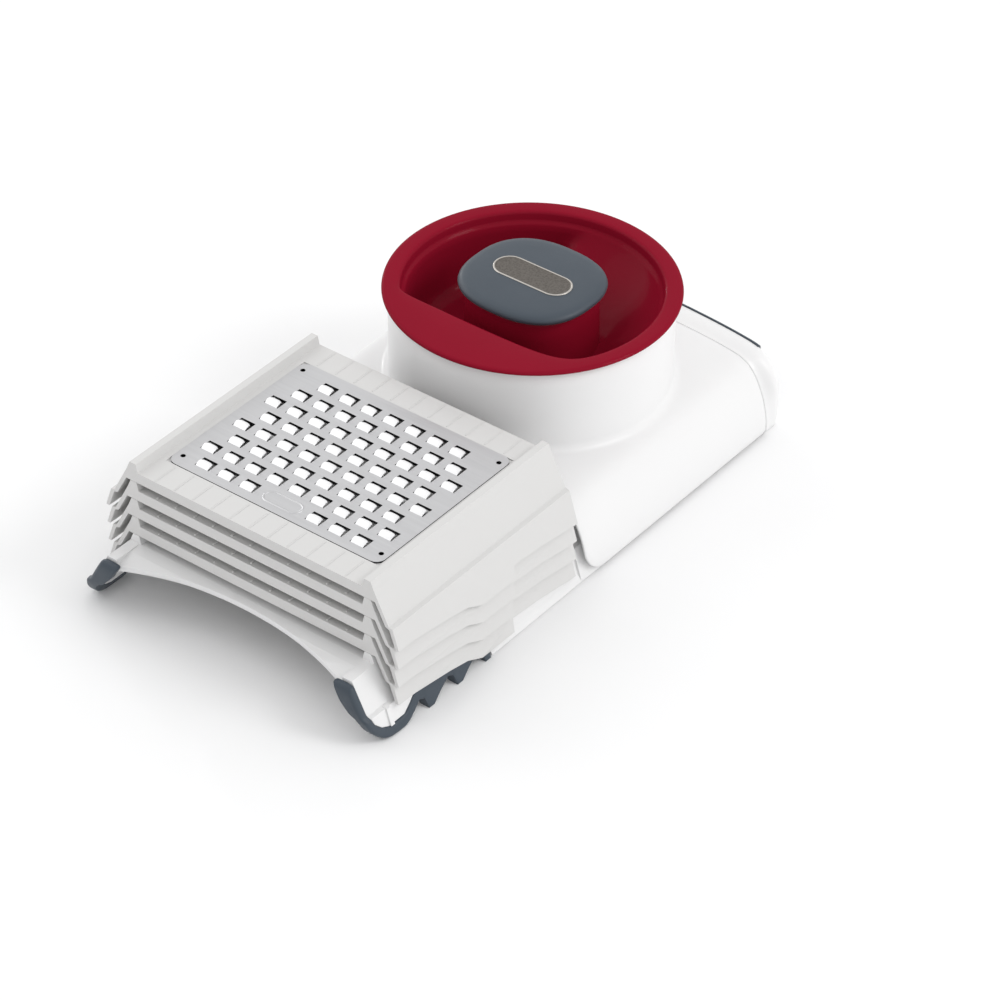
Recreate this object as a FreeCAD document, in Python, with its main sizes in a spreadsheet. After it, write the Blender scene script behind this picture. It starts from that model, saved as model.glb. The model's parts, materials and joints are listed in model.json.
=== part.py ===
"""Mandoline slicer: a base with a sliding food hopper, and four blade inserts stacked on its nose.

Units are millimetres. X runs across, Y from the toe to the rear, and Z is up from the table.
Outlines are drawn from the front face of the insert stack, and every sub-part's Placement
then moves it so that the middle of the whole length is at Y = 0.
"""
import FreeCAD, Part
import os
import re

import Sketcher

Vector = FreeCAD.Vector

# Driving dimensions. Section heights are counted from the plate top of the channel they belong to.
SIZES = {
    "stack_to_middle": 116.0,
    "insert_length": 108.0,
    "nest_pitch": 8.6,
    "working_level": 33.5,
    "runway_level": 28.0,
    # channel section, shared by the base and the four inserts
    "plate_thickness": 2.2,
    "rail_inner": 54.5,
    "rail_top_inner": 55.4,
    "rail_outer": 58.5,
    "rail_height": 3.8,
    "shoulder_half": 60.0,
    "shoulder_height": 0.2,
    "flank_half": 67.0,
    "flank_drop": 13.3,
    "step_half": 68.8,
    "step_drop": 13.8,
    "hem_half": 71.3,
    "hem_drop": 21.3,
    "skirt_half": 74.0,
    "skirt_drop": 30.0,
    "skirt_wall": 1.6,
    "lip_depth": 4.7,
    "lip_thickness": 3.0,
    # glide ribs on the plates
    "rib_pitch": 9.2,
    "rib_width": 0.7,
    "rib_height": 0.5,
    "faint_rib_height": 0.1,
    # grater plate
    "plate_half": 51.6,
    "plate_front": 13.2,
    "plate_rear": 95.0,
    "plate_corner": 4.5,
    "steel_thickness": 0.8,
    "tooth_pitch_across": 10.8,
    "tooth_pitch_along": 9.4,
    "first_tooth_row": 20.4,
    "tooth_width": 6.2,
    "tooth_length": 4.6,
    "tooth_rise": 1.5,
    "window_half": 45.8,
    "window_front": 15.5,
    "window_rear": 93.0,
    "rivet_half": 48.3,
    "rivet_front": 19.0,
    "rivet_rear": 90.2,
    "rivet_radius": 1.1,
    # straight slicing blades
    "blade_half": 50.5,
    "blade_front": 40.0,
    "blade_edge": 62.0,
    "blade_window_half": 43.5,
    "blade_window_front": 47.0,
    "blade_window_rear": 64.5,
    "thin_cut": 1.0,
    "thick_cut": 2.6,
    "julienne_cut": 1.4,
    "julienne_pitch": 6.0,
    # base
    "base_half": 73.2,
    "base_wall": 2.0,
    "floor_gap": 0.5,
    "nose_end": 112.0,
    "base_end": 236.0,
    "toe_reach": 13.0,
    "cheek_wall": 4.5,
    "guide_front": 4.6,
    "guide_width": 2.0,
    "guide_proud": 0.9,
    "cheek_inner": 55.5,
    "lip_arc": 160.0,
    "lip_middle": 3.0,
    "base_window_half": 48.0,
    "base_window_front": 8.0,
    "base_window_rear": 100.0,
    # rubber feet
    "foot_height": 22.5,
    "foot_toe": 17.0,
    "foot_thickness": 4.2,
    "foot_end": 55.0,
    "tooth_one": 18.0,
    "tooth_two": 35.3,
    "tooth_three": 52.5,
    "notch_height": 5.0,
    # rear end cap
    "cap_front": 236.4,
    "cap_rear": 248.0,
    "end_half": 74.8,
    "cap_height": 37.8,
    "cap_wall": 2.2,
    "grip_half": 59.0,
    "grip_inlay": 1.6,
    "grip_proud": 1.0,
    "grip_margin": 0.7,
    # hopper carriage
    "carriage_front": 113.5,
    "carriage_rear": 236.0,
    "carriage_half": 74.8,
    "carriage_floor": 2.0,
    "carriage_top": 36.8,
    "tower_centre": 174.7,
    "tower_radius": 57.4,
    "tower_top": 73.5,
    "bore_radius": 54.4,
    "running_gap": 0.5,
    "front_round": 12.0,
    # pusher
    "rim_radius": 60.0,
    "rim_top": 75.5,
    "rim_bottom": 73.6,
    "cup_radius": 54.0,
    "cup_bottom": 42.0,
    "well_floor": 46.0,
    "well_radius": 52.6,
    "chord_setback": 36.7,
    "column_half": 26.5,
    "column_depth": 25.5,
    "column_corner": 20.0,
    "cap_half": 28.8,
    "cap_depth": 26.8,
    "cap_corner": 22.0,
    "grip_top": 80.0,
    "badge_half": 18.0,
    "badge_depth": 6.8,
    "badge_inlay": 0.8,
    "prong_plate_bottom": 38.4,
    "prong_tip": 34.6,
    "prong_radius": 1.2,
}

doc = FreeCAD.newDocument("MandolineSlicer")
sheet = doc.addObject("Spreadsheet::Sheet", "Sizes")
for row, (name, number) in enumerate(SIZES.items(), start=1):
    sheet.set(f"A{row}", name)
    sheet.set(f"B{row}", str(number))
    sheet.setAlias(f"B{row}", name)
doc.recompute()


# ---------------------------------------------------------------- helpers
def bound(text):
    """Turn a formula in plain size names into an expression on the sheet."""
    return re.sub(r"[a-z][a-z_]+", lambda word: "Sizes." + word.group(), str(text))


def value(text):
    """The present value, in mm, of a formula in size names."""
    return float(sheet.evalExpression(bound(text)))


def new_body(label, level="0"):
    """An empty PartDesign body whose plate level and lengthways place follow the sheet."""
    body = doc.addObject("PartDesign::Body", label)
    body.Label = label
    body.setExpression("Placement.Base.y", bound("-stack_to_middle"))
    body.setExpression("Placement.Base.z", bound(level))
    return body


def new_sketch(body, name, plane, offset):
    """A sketch on one of the body's own origin planes, moved along the plane's normal."""
    sketch = body.newObject("Sketcher::SketchObject", name)
    support = next(f for f in body.Origin.OriginFeatures if f.Role == plane)
    sketch.AttachmentSupport = [(support, "")]
    sketch.MapMode = "FlatFace"
    sketch.setExpression("AttachmentOffset.Base.z", bound(offset))
    return sketch


def pin_point(sketch, geometry, vertex, across, up):
    """Fix one sketch point from the origin, both distances bound to the sheet."""
    for kind, formula in (("DistanceX", across), ("DistanceY", up)):
        constraint = Sketcher.Constraint(kind, -1, 1, geometry, vertex, value(formula))
        index = sketch.addConstraint(constraint)
        sketch.setExpression(f"Constraints[{index}]", bound(formula))


def polygon(body, name, plane, corners, offset="0"):
    """A closed outline of straight edges, every corner bound to the sheet."""
    sketch = new_sketch(body, name, plane, offset)
    spots = [Vector(value(x), value(y), 0) for x, y in corners]
    count = len(spots)
    for i in range(count):
        sketch.addGeometry(Part.LineSegment(spots[i], spots[(i + 1) % count]))
    for i in range(count):
        sketch.addConstraint(Sketcher.Constraint("Coincident", i, 2, (i + 1) % count, 1))
    for i, (x, y) in enumerate(corners):
        pin_point(sketch, i, 1, x, y)
    return sketch


def rectangle(body, name, plane, low, high, offset="0"):
    """A rectangle between two opposite corners."""
    corners = [(low[0], low[1]), (high[0], low[1]), (high[0], high[1]), (low[0], high[1])]
    return polygon(body, name, plane, corners, offset)


def circles(body, name, centres, radius, offset="0"):
    """Equal circles on the XY plane."""
    sketch = new_sketch(body, name, "XY_Plane", offset)
    for i, (x, y) in enumerate(centres):
        middle = Vector(value(x), value(y), 0)
        sketch.addGeometry(Part.Circle(middle, Vector(0, 0, 1), value(radius)))
        index = sketch.addConstraint(Sketcher.Constraint("Radius", i, value(radius)))
        sketch.setExpression(f"Constraints[{index}]", bound(radius))
        pin_point(sketch, i, 3, x, y)
    return sketch


def circle_part(body, name, radius, chord, keep_front, offset="0"):
    """The part of a circle round the tower's axis that lies on one side of a chord along X."""
    sketch = new_sketch(body, name, "XY_Plane", offset)
    centre = Vector(0, value("tower_centre"), 0)
    reach = value(radius)
    drop = value(chord)
    half = (reach ** 2 - drop ** 2) ** 0.5
    left = centre + Vector(-half, -drop, 0)
    right = centre + Vector(half, -drop, 0)
    far = centre + Vector(0, -reach if keep_front else reach, 0)
    sketch.addGeometry(Part.Arc(left, far, right) if keep_front else Part.Arc(right, far, left))
    sketch.addGeometry(Part.LineSegment(right, left) if keep_front else Part.LineSegment(left, right))
    sketch.addConstraint(Sketcher.Constraint("Coincident", 0, 2, 1, 1))
    sketch.addConstraint(Sketcher.Constraint("Coincident", 1, 2, 0, 1))
    sketch.addConstraint(Sketcher.Constraint("Horizontal", 1))
    pin_point(sketch, 0, 3, "0", "tower_centre")
    index = sketch.addConstraint(Sketcher.Constraint("Radius", 0, reach))
    sketch.setExpression(f"Constraints[{index}]", bound(radius))
    level = f"tower_centre - {chord}"
    index = sketch.addConstraint(Sketcher.Constraint("DistanceY", -1, 1, 1, 1, value(level)))
    sketch.setExpression(f"Constraints[{index}]", bound(level))
    return sketch


def add_pad(body, sketch, length, reverse=False, both_ways=False):
    """Pad a sketch; the body must gain material."""
    before = body.Shape.Volume if body.Tip else 0.0
    pad = body.newObject("PartDesign::Pad", sketch.Name + "Pad")
    pad.Profile = sketch
    pad.setExpression("Length", bound(length))
    pad.Reversed = reverse
    pad.SideType = "Symmetric" if both_ways else "One side"
    doc.recompute()
    if body.Shape.Volume <= before:
        raise RuntimeError(f"{body.Label}: {sketch.Name} added nothing")
    return pad


def cut(body, sketch, depth, reverse=False, both_ways=False):
    """Pocket a sketch; the body must lose material."""
    before = body.Shape.Volume
    pocket = body.newObject("PartDesign::Pocket", sketch.Name + "Cut")
    pocket.Profile = sketch
    pocket.setExpression("Length", bound(depth))
    pocket.Reversed = reverse
    pocket.SideType = "Symmetric" if both_ways else "One side"
    doc.recompute()
    if body.Shape.Volume >= before:
        raise RuntimeError(f"{body.Label}: {sketch.Name} cut nothing")
    return pocket


def repeat_across(body, feature, pitch, count):
    """Repeat a feature along X, and make the pattern the body's tip."""
    pattern = body.newObject("PartDesign::LinearPattern", feature.Name + "Row")
    pattern.Originals = [feature]
    sketch = feature.Profile[0]
    pattern.Direction = (sketch, ["H_Axis"])
    pattern.setExpression("Length", bound(f"{pitch} * {count - 1}"))
    pattern.Occurrences = count
    body.Tip = pattern
    doc.recompute()
    return pattern


def round_edges(body, radius, wanted):
    """Fillet the edges of the tip for which the test is true."""
    tip = body.Tip
    names = [f"Edge{i}" for i, edge in enumerate(tip.Shape.Edges, start=1) if wanted(edge)]
    if not names:
        raise RuntimeError(f"{body.Label}: no edge to round")
    fillet = body.newObject("PartDesign::Fillet", body.Name + "Round")
    fillet.Base = (tip, names)
    fillet.setExpression("Radius", bound(radius))
    doc.recompute()
    return fillet


def is_upright(edge):
    """True for a straight edge along Z."""
    direction = edge.Vertexes[-1].Point - edge.Vertexes[0].Point
    return edge.Curve.TypeId == "Part::GeomLine" and abs(direction.z) > 0.999 * direction.Length


def upright_at(across):
    """A test for upright edges at a distance from the middle plane."""
    def wanted(edge):
        return is_upright(edge) and abs(abs(edge.CenterOfMass.x) - across) < 0.01
    return wanted


def lies_at_height(height):
    """A test for edges that lie flat at one local height."""
    def wanted(edge):
        box = edge.BoundBox
        return abs(box.ZMin - height) < 1e-4 and abs(box.ZMax - height) < 1e-4
    return wanted


def mirrored(corners):
    """The same points on the other side of X = 0, in the opposite order."""
    return [(f"-({x})", z) for x, z in reversed(corners)]


# ---------------------------------------------------------------- channel section
def channel_outline(level, foot_half, foot_height, wall):
    """The inverted U of the base and inserts: plate, two rails and two stepped skirts."""
    outer = [
        ("rail_inner", level),
        ("rail_top_inner", f"{level} + rail_height"),
        ("rail_outer", f"{level} + rail_height"),
        ("shoulder_half", f"{level} + shoulder_height"),
        ("flank_half", f"{level} - flank_drop"),
        ("step_half", f"{level} - step_drop"),
        ("hem_half", f"{level} - hem_drop"),
        (foot_half, foot_height),
    ]
    inner = [
        (f"{foot_half} - {wall}", foot_height),
        (f"hem_half - {wall}", f"{level} - hem_drop"),
        (f"step_half - {wall}", f"{level} - step_drop - 0.8"),
        (f"flank_half - {wall}", f"{level} - flank_drop - 0.6"),
        ("shoulder_half - 0.8", f"{level} - plate_thickness"),
    ]
    right = outer + inner
    return right + mirrored(right)


# ---------------------------------------------------------------- blade inserts
def skirt_hem():
    """Side view of what is trimmed off below the skirts: the hem rises to a finger recess."""
    low = "-skirt_drop - 1"
    return [
        ("-1", low),
        ("-1", "-22.5"),
        ("10", "-22.8"),
        ("30", "-25"),
        ("40", "-26.5"),
        ("48", "-29.6"),
        ("68", "-29.8"),
        ("69", "-24.5"),
        ("86", "-25.5"),
        ("104", "-27.5"),
        ("insert_length + 1", "-27.8"),
        ("insert_length + 1", low),
    ]


def insert_frame(label, level):
    """The moulded frame that all four inserts share, before its window and seats are cut."""
    body = new_body(label, level)
    section = channel_outline("0", "skirt_half", "-skirt_drop", "skirt_wall")
    add_pad(body, polygon(body, label + "_section", "XZ_Plane", section), "insert_length", True)
    lip = [
        ("shoulder_half - 0.5", "-plate_thickness"),
        ("shoulder_half + 1.2", "-lip_depth"),
        ("-(shoulder_half + 1.2)", "-lip_depth"),
        ("-(shoulder_half - 0.5)", "-plate_thickness"),
    ]
    lip_sketch = polygon(body, label + "_front_lip", "XZ_Plane", lip)
    add_pad(body, lip_sketch, "lip_thickness", True)
    rear_lip = polygon(body, label + "_rear_lip", "XZ_Plane", lip, "-(insert_length - lip_thickness)")
    add_pad(body, rear_lip, "lip_thickness", True)
    hem = polygon(body, label + "_hem", "YZ_Plane", skirt_hem())
    cut(body, hem, "4 * skirt_half", both_ways=True)
    return body


def add_ribs(body, name, front, rear, height="rib_height"):
    """Low glide ribs along the plate, so that food slides and doesn't stick."""
    first = "-5 * rib_pitch"
    low = (f"{first} - rib_width / 2", front)
    high = (f"{first} + rib_width / 2", rear)
    rib = add_pad(body, rectangle(body, name, "XY_Plane", low, high), height)
    return repeat_across(body, rib, "rib_pitch", 11)


def rivet_group(label, level, places, top, bottom):
    """Identical rivets in one node: a shank with a flat head under the plate."""
    rivets = []
    for i, (x, y) in enumerate(places):
        shank = doc.addObject("Part::Cylinder", f"{label}_shank_{i}")
        shank.setExpression("Radius", bound("rivet_radius - 0.05"))
        shank.setExpression("Height", bound(f"{top} - ({bottom})"))
        head = doc.addObject("Part::Cylinder", f"{label}_head_{i}")
        head.setExpression("Radius", bound("2 * rivet_radius"))
        head.setExpression("Height", "0.6")
        shank.setExpression("Placement.Base.z", bound(bottom))
        head.setExpression("Placement.Base.z", bound(f"{bottom} - 0.6"))
        for solid in (shank, head):
            solid.setExpression("Placement.Base.x", bound(x))
            solid.setExpression("Placement.Base.y", bound(y))
        rivet = doc.addObject("Part::Fuse", f"{label}_rivet_{i}")
        rivet.Base = shank
        rivet.Tool = head
        rivets.append(rivet)
    group = doc.addObject("Part::Compound", label)
    group.Label = label
    group.Links = rivets
    group.setExpression("Placement.Base.y", bound("-stack_to_middle"))
    group.setExpression("Placement.Base.z", bound(level))
    return group


def grater_level():
    return "working_level + 3 * nest_pitch"


def make_grater_frame():
    frame = insert_frame("grater_frame", grater_level())
    low = ("-window_half", "window_front")
    high = ("window_half", "window_rear")
    cut(frame, rectangle(frame, "grater_window", "XY_Plane", low, high, "1"), "plate_thickness + 2")
    round_edges(frame, "4", upright_at(value("window_half")))
    low = ("-(plate_half + 0.1)", "plate_front - 0.1")
    high = ("plate_half + 0.1", "plate_rear + 0.1")
    cut(frame, rectangle(frame, "grater_seat", "XY_Plane", low, high), "steel_thickness - 0.2")
    cut(frame, circles(frame, "grater_rivet_holes", grater_rivet_places(), "rivet_radius"),
        "plate_thickness + 1")
    height = "faint_rib_height"
    add_ribs(frame, "grater_front_rib", "0.6", "plate_front - 1.2", height)
    add_ribs(frame, "grater_rear_rib", "plate_rear + 1.2", "insert_length - 0.6", height)
    return frame


def grater_rivet_places():
    return [(x, y) for x in ("-rivet_half", "rivet_half") for y in ("rivet_front", "rivet_rear")]


def make_grater_plate():
    """The steel plate: rows of raised teeth, each a bent strip in front of its opening."""
    half = value("plate_half")
    front = value("plate_front")
    rear = value("plate_rear")
    thickness = value("steel_thickness")
    bottom = 0.2 - thickness
    sheet_metal = Part.makeBox(2 * half, rear - front, thickness, Vector(-half, front, bottom))
    corners = [edge for edge in sheet_metal.Edges if is_upright(edge)]
    sheet_metal = sheet_metal.makeFillet(value("plate_corner"), corners)
    for x, y in grater_rivet_places():
        hole = Part.makeCylinder(value("rivet_radius"), 4, Vector(value(x), value(y), -2))
        sheet_metal = sheet_metal.cut(hole)
    width = value("tooth_width")
    length = value("tooth_length")
    rise = value("tooth_rise")
    openings = []
    strips = []
    for x, y in tooth_places():
        openings.append(Part.makeBox(width, length, 4, Vector(x - width / 2, y - length / 2, -2)))
        side = [
            Vector(x - width / 2 + 0.5, y - length / 2 - 0.4, bottom),
            Vector(x - width / 2 + 0.5, y - length / 2 - 0.4, 0.2),
            Vector(x - width / 2 + 0.5, y - length / 2 + 2.4, 0.2 + rise),
            Vector(x - width / 2 + 0.5, y - length / 2 + 3.0, 0.2 + rise),
            Vector(x - width / 2 + 0.5, y - length / 2 + 0.5, bottom),
        ]
        face = Part.Face(Part.makePolygon(side + side[:1]))
        strips.append(face.extrude(Vector(width - 1.0, 0, 0)))
    shape = sheet_metal.cut(Part.makeCompound(openings)).fuse(strips).removeSplitter()
    plate = doc.addObject("Part::Feature", "grater_plate")
    plate.Label = "grater_plate"
    plate.Shape = shape
    plate.setExpression("Placement.Base.y", bound("-stack_to_middle"))
    plate.setExpression("Placement.Base.z", bound(grater_level()))
    return plate


def tooth_places():
    """Eight staggered rows from the front; a blank oval in the front row takes two teeth."""
    places = []
    for row in range(8):
        staggered = row % 2 == 0
        columns = [k + 0.5 for k in range(-4, 4)] if staggered else list(range(-4, 5))
        for column in columns:
            beside_oval = row == 0 and abs(column) < 1
            clipped_corner = row == 7 and abs(column) == 4
            if beside_oval or clipped_corner:
                continue
            x = column * value("tooth_pitch_across")
            y = value("first_tooth_row") + row * value("tooth_pitch_along")
            places.append((x, y))
    return places


def blade_rivet_places():
    return [(x, y) for x in ("-47", "47") for y in ("blade_front + 4", "blade_edge - 6")]


def make_slicing_insert(name, level, cut_depth):
    """A frame with a straight blade, and a feed plate set below the blade by the cut."""
    frame = insert_frame(name + "_frame", level)
    low = ("-52", "blade_window_rear - 2")
    high = ("52", "insert_length - 5")
    bed = rectangle(frame, name + "_feed_bed", "XY_Plane", low, high, "-plate_thickness")
    add_pad(frame, bed, cut_depth, True)
    low = ("-50", "blade_window_rear - 1")
    high = ("50", "insert_length - 7")
    cut(frame, rectangle(frame, name + "_feed", "XY_Plane", low, high), cut_depth)
    low = ("-blade_window_half", "blade_window_front")
    high = ("blade_window_half", "blade_window_rear")
    window = rectangle(frame, name + "_window", "XY_Plane", low, high, "1")
    cut(frame, window, f"plate_thickness + {cut_depth} + 2")
    low = ("-(blade_half + 0.1)", "blade_front - 0.1")
    high = ("blade_half + 0.1", "blade_edge + 0.3")
    cut(frame, rectangle(frame, name + "_seat", "XY_Plane", low, high), "steel_thickness")
    holes = circles(frame, name + "_rivet_holes", blade_rivet_places(), "rivet_radius")
    cut(frame, holes, "plate_thickness + 1")
    add_ribs(frame, name + "_front_rib", "1", "blade_front - 1.5")

    blade = new_body(name + "_blade", level)
    section = [
        ("blade_front", "-steel_thickness"),
        ("blade_front", "0"),
        ("blade_edge", "0"),
        ("blade_edge", "-0.12"),
        ("blade_edge - 2.4", "-steel_thickness"),
    ]
    side = polygon(blade, name + "_blade_section", "YZ_Plane", section)
    add_pad(blade, side, "2 * blade_half", both_ways=True)
    holes = circles(blade, name + "_blade_holes", blade_rivet_places(), "rivet_radius")
    cut(blade, holes, "2 * steel_thickness")
    rivet_group(name + "_rivets", level, blade_rivet_places(), "0", "-plate_thickness")
    return frame


def make_julienne_teeth(level):
    """A comb of small upright cutters on the slicing blade's mounting plate."""
    comb = new_body("julienne_teeth", level)
    low = ("-(7.5 * julienne_pitch)", "blade_front + 9")
    high = ("7.5 * julienne_pitch", "blade_front + 12")
    add_pad(comb, rectangle(comb, "comb_bar", "XY_Plane", low, high), "0.6")
    cutter = [
        ("blade_front + 9", "0.3"),
        ("blade_front + 12", "0.3"),
        ("blade_front + 12", "3.6"),
        ("blade_front + 10.8", "3.6"),
    ]
    offset = "-(7 * julienne_pitch) - 0.25"
    tooth = add_pad(comb, polygon(comb, "comb_tooth", "YZ_Plane", cutter, offset), "0.5")
    row = comb.newObject("PartDesign::LinearPattern", "comb_row")
    row.Originals = [tooth]
    row.Direction = (tooth.Profile[0], ["N_Axis"])
    row.setExpression("Length", bound("14 * julienne_pitch"))
    row.Occurrences = 15
    comb.Tip = row
    doc.recompute()
    return comb


# ---------------------------------------------------------------- base
def foot_outline():
    """Side view of a rubber foot: round toe, then three teeth that hook on a bowl's rim."""
    outer = [
        ("-foot_toe + 2.5", "foot_height + 1.5"),
        ("-foot_toe", "foot_height - 1.5"),
        ("-foot_toe", "11"),
        ("-foot_toe + 1.6", "6.6"),
        ("-foot_toe + 5", "2.6"),
        ("-foot_toe + 9", "0.6"),
        ("-foot_toe + 13", "0"),
        ("3", "0"),
        ("8", "1.4"),
        ("tooth_one - 5", "notch_height"),
        ("tooth_one - 2.6", "notch_height - 1"),
        ("tooth_one - 1.8", "0"),
        ("tooth_one + 1.2", "0"),
        ("tooth_two - 5", "notch_height"),
        ("tooth_two - 2.6", "notch_height - 1"),
        ("tooth_two - 1.8", "0"),
        ("tooth_two + 1.2", "0"),
        ("tooth_three - 5", "notch_height"),
        ("tooth_three - 2.6", "notch_height - 1"),
        ("tooth_three - 1.8", "0"),
        ("tooth_three + 1.2", "0"),
        ("foot_end", "notch_height"),
    ]
    return outer + list(reversed(wall_hem()))


def wall_hem():
    """Where the white wall ends and the rubber starts, from the toe to the rear of the foot."""
    return [
        ("-toe_reach", "foot_height + 1.5"),
        ("-toe_reach", "12"),
        ("-toe_reach + 1.4", "8.4"),
        ("-toe_reach + 4.4", "5.6"),
        ("-toe_reach + 8", "foot_thickness"),
        ("4", "foot_thickness"),
        ("8", "6.4"),
        ("tooth_one - 5.5", "9.4"),
        ("tooth_two", "8.8"),
        ("tooth_two + 5", "7.4"),
        ("tooth_three - 7", "6.2"),
        ("foot_end", "6.0"),
    ]


def flank_line(out):
    """The cheek's slanted outer flank, from the top down, moved outwards by a distance."""
    nose = "working_level - nest_pitch"
    return [
        (f"shoulder_half + {out}", f"{nose} + shoulder_height"),
        (f"flank_half + {out}", f"{nose} - flank_drop"),
        (f"step_half + {out}", f"{nose} - step_drop"),
        (f"hem_half + {out}", f"{nose} - hem_drop"),
        (f"base_half + {out}", "floor_gap"),
    ]


def make_base_shell():
    nose = "working_level - nest_pitch"
    shell = new_body("base_shell")
    section = channel_outline(nose, "base_half", "floor_gap", "base_wall")
    add_pad(shell, polygon(shell, "nose_section", "XZ_Plane", section), "nose_end", True)
    section = channel_outline("runway_level", "base_half", "floor_gap", "base_wall")
    rear = polygon(shell, "runway_section", "XZ_Plane", section, "-nose_end")
    add_pad(shell, rear, "base_end - nose_end", True)

    low = ("-(shoulder_half - 0.9)", f"{nose} - plate_thickness")
    high = ("shoulder_half - 0.9", "runway_level")
    riser = rectangle(shell, "riser", "XZ_Plane", low, high, "-nose_end")
    add_pad(shell, riser, "base_wall", True)

    lip = [
        ("0.5", f"{nose} - plate_thickness"),
        ("0.5", nose),
        ("-5", f"{nose} - 0.3"),
        ("-toe_reach", f"{nose} - 2.6"),
        ("-toe_reach", f"{nose} - 5"),
        ("-5", f"{nose} - 2.6"),
    ]
    front = polygon(shell, "front_lip", "YZ_Plane", lip)
    add_pad(shell, front, "2 * (cheek_inner + 1)", both_ways=True)
    arc = circles(shell, "lip_arch", [("0", "-lip_arc - lip_middle")], "lip_arc")
    cut(shell, arc, f"{nose} + 4", reverse=True)

    for side in ("right", "left"):
        outer = flank_line("0")
        inner = [(f"{x} - cheek_wall", z) for x, z in reversed(outer[1:])]
        inner.append(("cheek_inner", f"{nose} - 6"))
        inner.append(("cheek_inner", f"{nose} + shoulder_height"))
        outline = outer + inner
        if side == "left":
            outline = mirrored(outline)
        cheek = polygon(shell, side + "_cheek", "XZ_Plane", outline, "toe_reach")
        add_pad(shell, cheek, "toe_reach + foot_end", True)
        guide = flank_line("guide_proud")[1:4] + flank_line("-0.5")[3:0:-1]
        if side == "left":
            guide = mirrored(guide)
        guide = polygon(shell, side + "_guide_rib", "XZ_Plane", guide, "guide_front")
        add_pad(shell, guide, "guide_width", True)

    low = ("-base_window_half", "base_window_front")
    high = ("base_window_half", "base_window_rear")
    window = rectangle(shell, "base_window", "XY_Plane", low, high, f"{nose} + 1")
    cut(shell, window, "plate_thickness + 3")
    corner = value("base_window_half")
    round_edges(shell, "8", upright_at(corner))

    below = wall_hem() + [("foot_end", "-1"), ("-toe_reach - 5", "-1"),
                          ("-toe_reach - 5", "foot_height + 1.5")]
    cut(shell, polygon(shell, "foot_trim", "YZ_Plane", below), "4 * base_half", both_ways=True)
    return shell


def make_foot_grip(side):
    """One rubber foot: the side view carried across, then trimmed to the slanted flank."""
    label = "foot_grip_" + side
    foot = new_body(label)
    sign = "" if side == "right" else "-"
    start = "45" if side == "right" else "-85"
    outline = polygon(foot, label + "_side", "YZ_Plane", foot_outline(), start)
    add_pad(foot, outline, "40")

    outer = flank_line("0.7")[:-1] + [("base_half + 0.7", "-1")]
    outside = outer + [("90", "-1"), ("90", "30"), ("shoulder_half + 0.7", "30")]
    inner = [(f"{x} - cheek_wall", z) for x, z in flank_line("0")[1:-1]]
    inner = [("cheek_inner", "30"), ("cheek_inner", "20"), *inner, ("base_half - cheek_wall", "-1")]
    inside = inner + [("40", "-1"), ("40", "30")]
    for name, trim in (("_outside", outside), ("_inside", inside)):
        corners = trim if side == "right" else mirrored(trim)
        sketch = polygon(foot, label + name, "XZ_Plane", corners, "30")
        cut(foot, sketch, "foot_end + 60")
    return foot


def rear_crown(drop):
    """The end block's crowned top from its right shoulder to the middle, lowered by a distance."""
    points = [("end_half - 11.4", "33.6"), ("end_half - 20", "35.2"), ("end_half - 34", "36.5"),
              ("20", "cap_height")]
    return [(x, f"{z} - {drop}") for x, z in points]


def make_rear_end_cap():
    """A hollow end block that closes the runway and stops the carriage."""
    block = new_body("rear_end_cap")
    outer = [
        ("end_half - 1.2", "0"),
        ("end_half", "8"),
        ("end_half", "21"),
        ("end_half - 2.4", "26"),
        ("end_half - 6.4", "30.8"),
        *rear_crown("0"),
    ]
    section = polygon(block, "end_section", "XZ_Plane", outer + mirrored(outer), "-cap_front")
    add_pad(block, section, "cap_rear - cap_front", True)
    rear = value("cap_rear")

    def on_rear_face(edge):
        box = edge.BoundBox
        return abs(box.YMin - rear) < 0.01 and box.ZMax > 0.5

    round_edges(block, "1.4", on_rear_face)
    low = ("-(end_half - 10)", "cap_front + cap_wall")
    high = ("end_half - 10", "cap_rear - cap_wall - 1.5")
    hollow = rectangle(block, "end_hollow", "XY_Plane", low, high)
    cut(block, hollow, "24", reverse=True)
    seat = polygon(block, "grip_seat", "XZ_Plane", grip_outline(), "-(cap_rear - grip_inlay)")
    cut(block, seat, "grip_inlay + 1")
    low = ("-45", "17")
    high = ("45", "runway_level - plate_thickness - 0.2")
    tongue = rectangle(block, "end_tongue", "XZ_Plane", low, high, "-(base_end - 8)")
    add_pad(block, tongue, "9", True)
    return block


def grip_outline():
    """Rear view of the rubber strip: straight below, and crowned above like the block."""
    right = [("grip_half", "12"), ("grip_half", "33.6 - grip_margin")]
    right += [(x, z) for x, z in rear_crown("grip_margin")[1:]]
    return right + mirrored(right)


def make_rear_grip_pad():
    """The dark rubber strip let into the end block's rear face, just under its top edge."""
    grip = new_body("rear_grip_pad")
    outline = polygon(grip, "grip_rear_view", "XZ_Plane", grip_outline(), "-(cap_rear - grip_inlay)")
    add_pad(grip, outline, "grip_inlay + grip_proud", True)
    return grip


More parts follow.
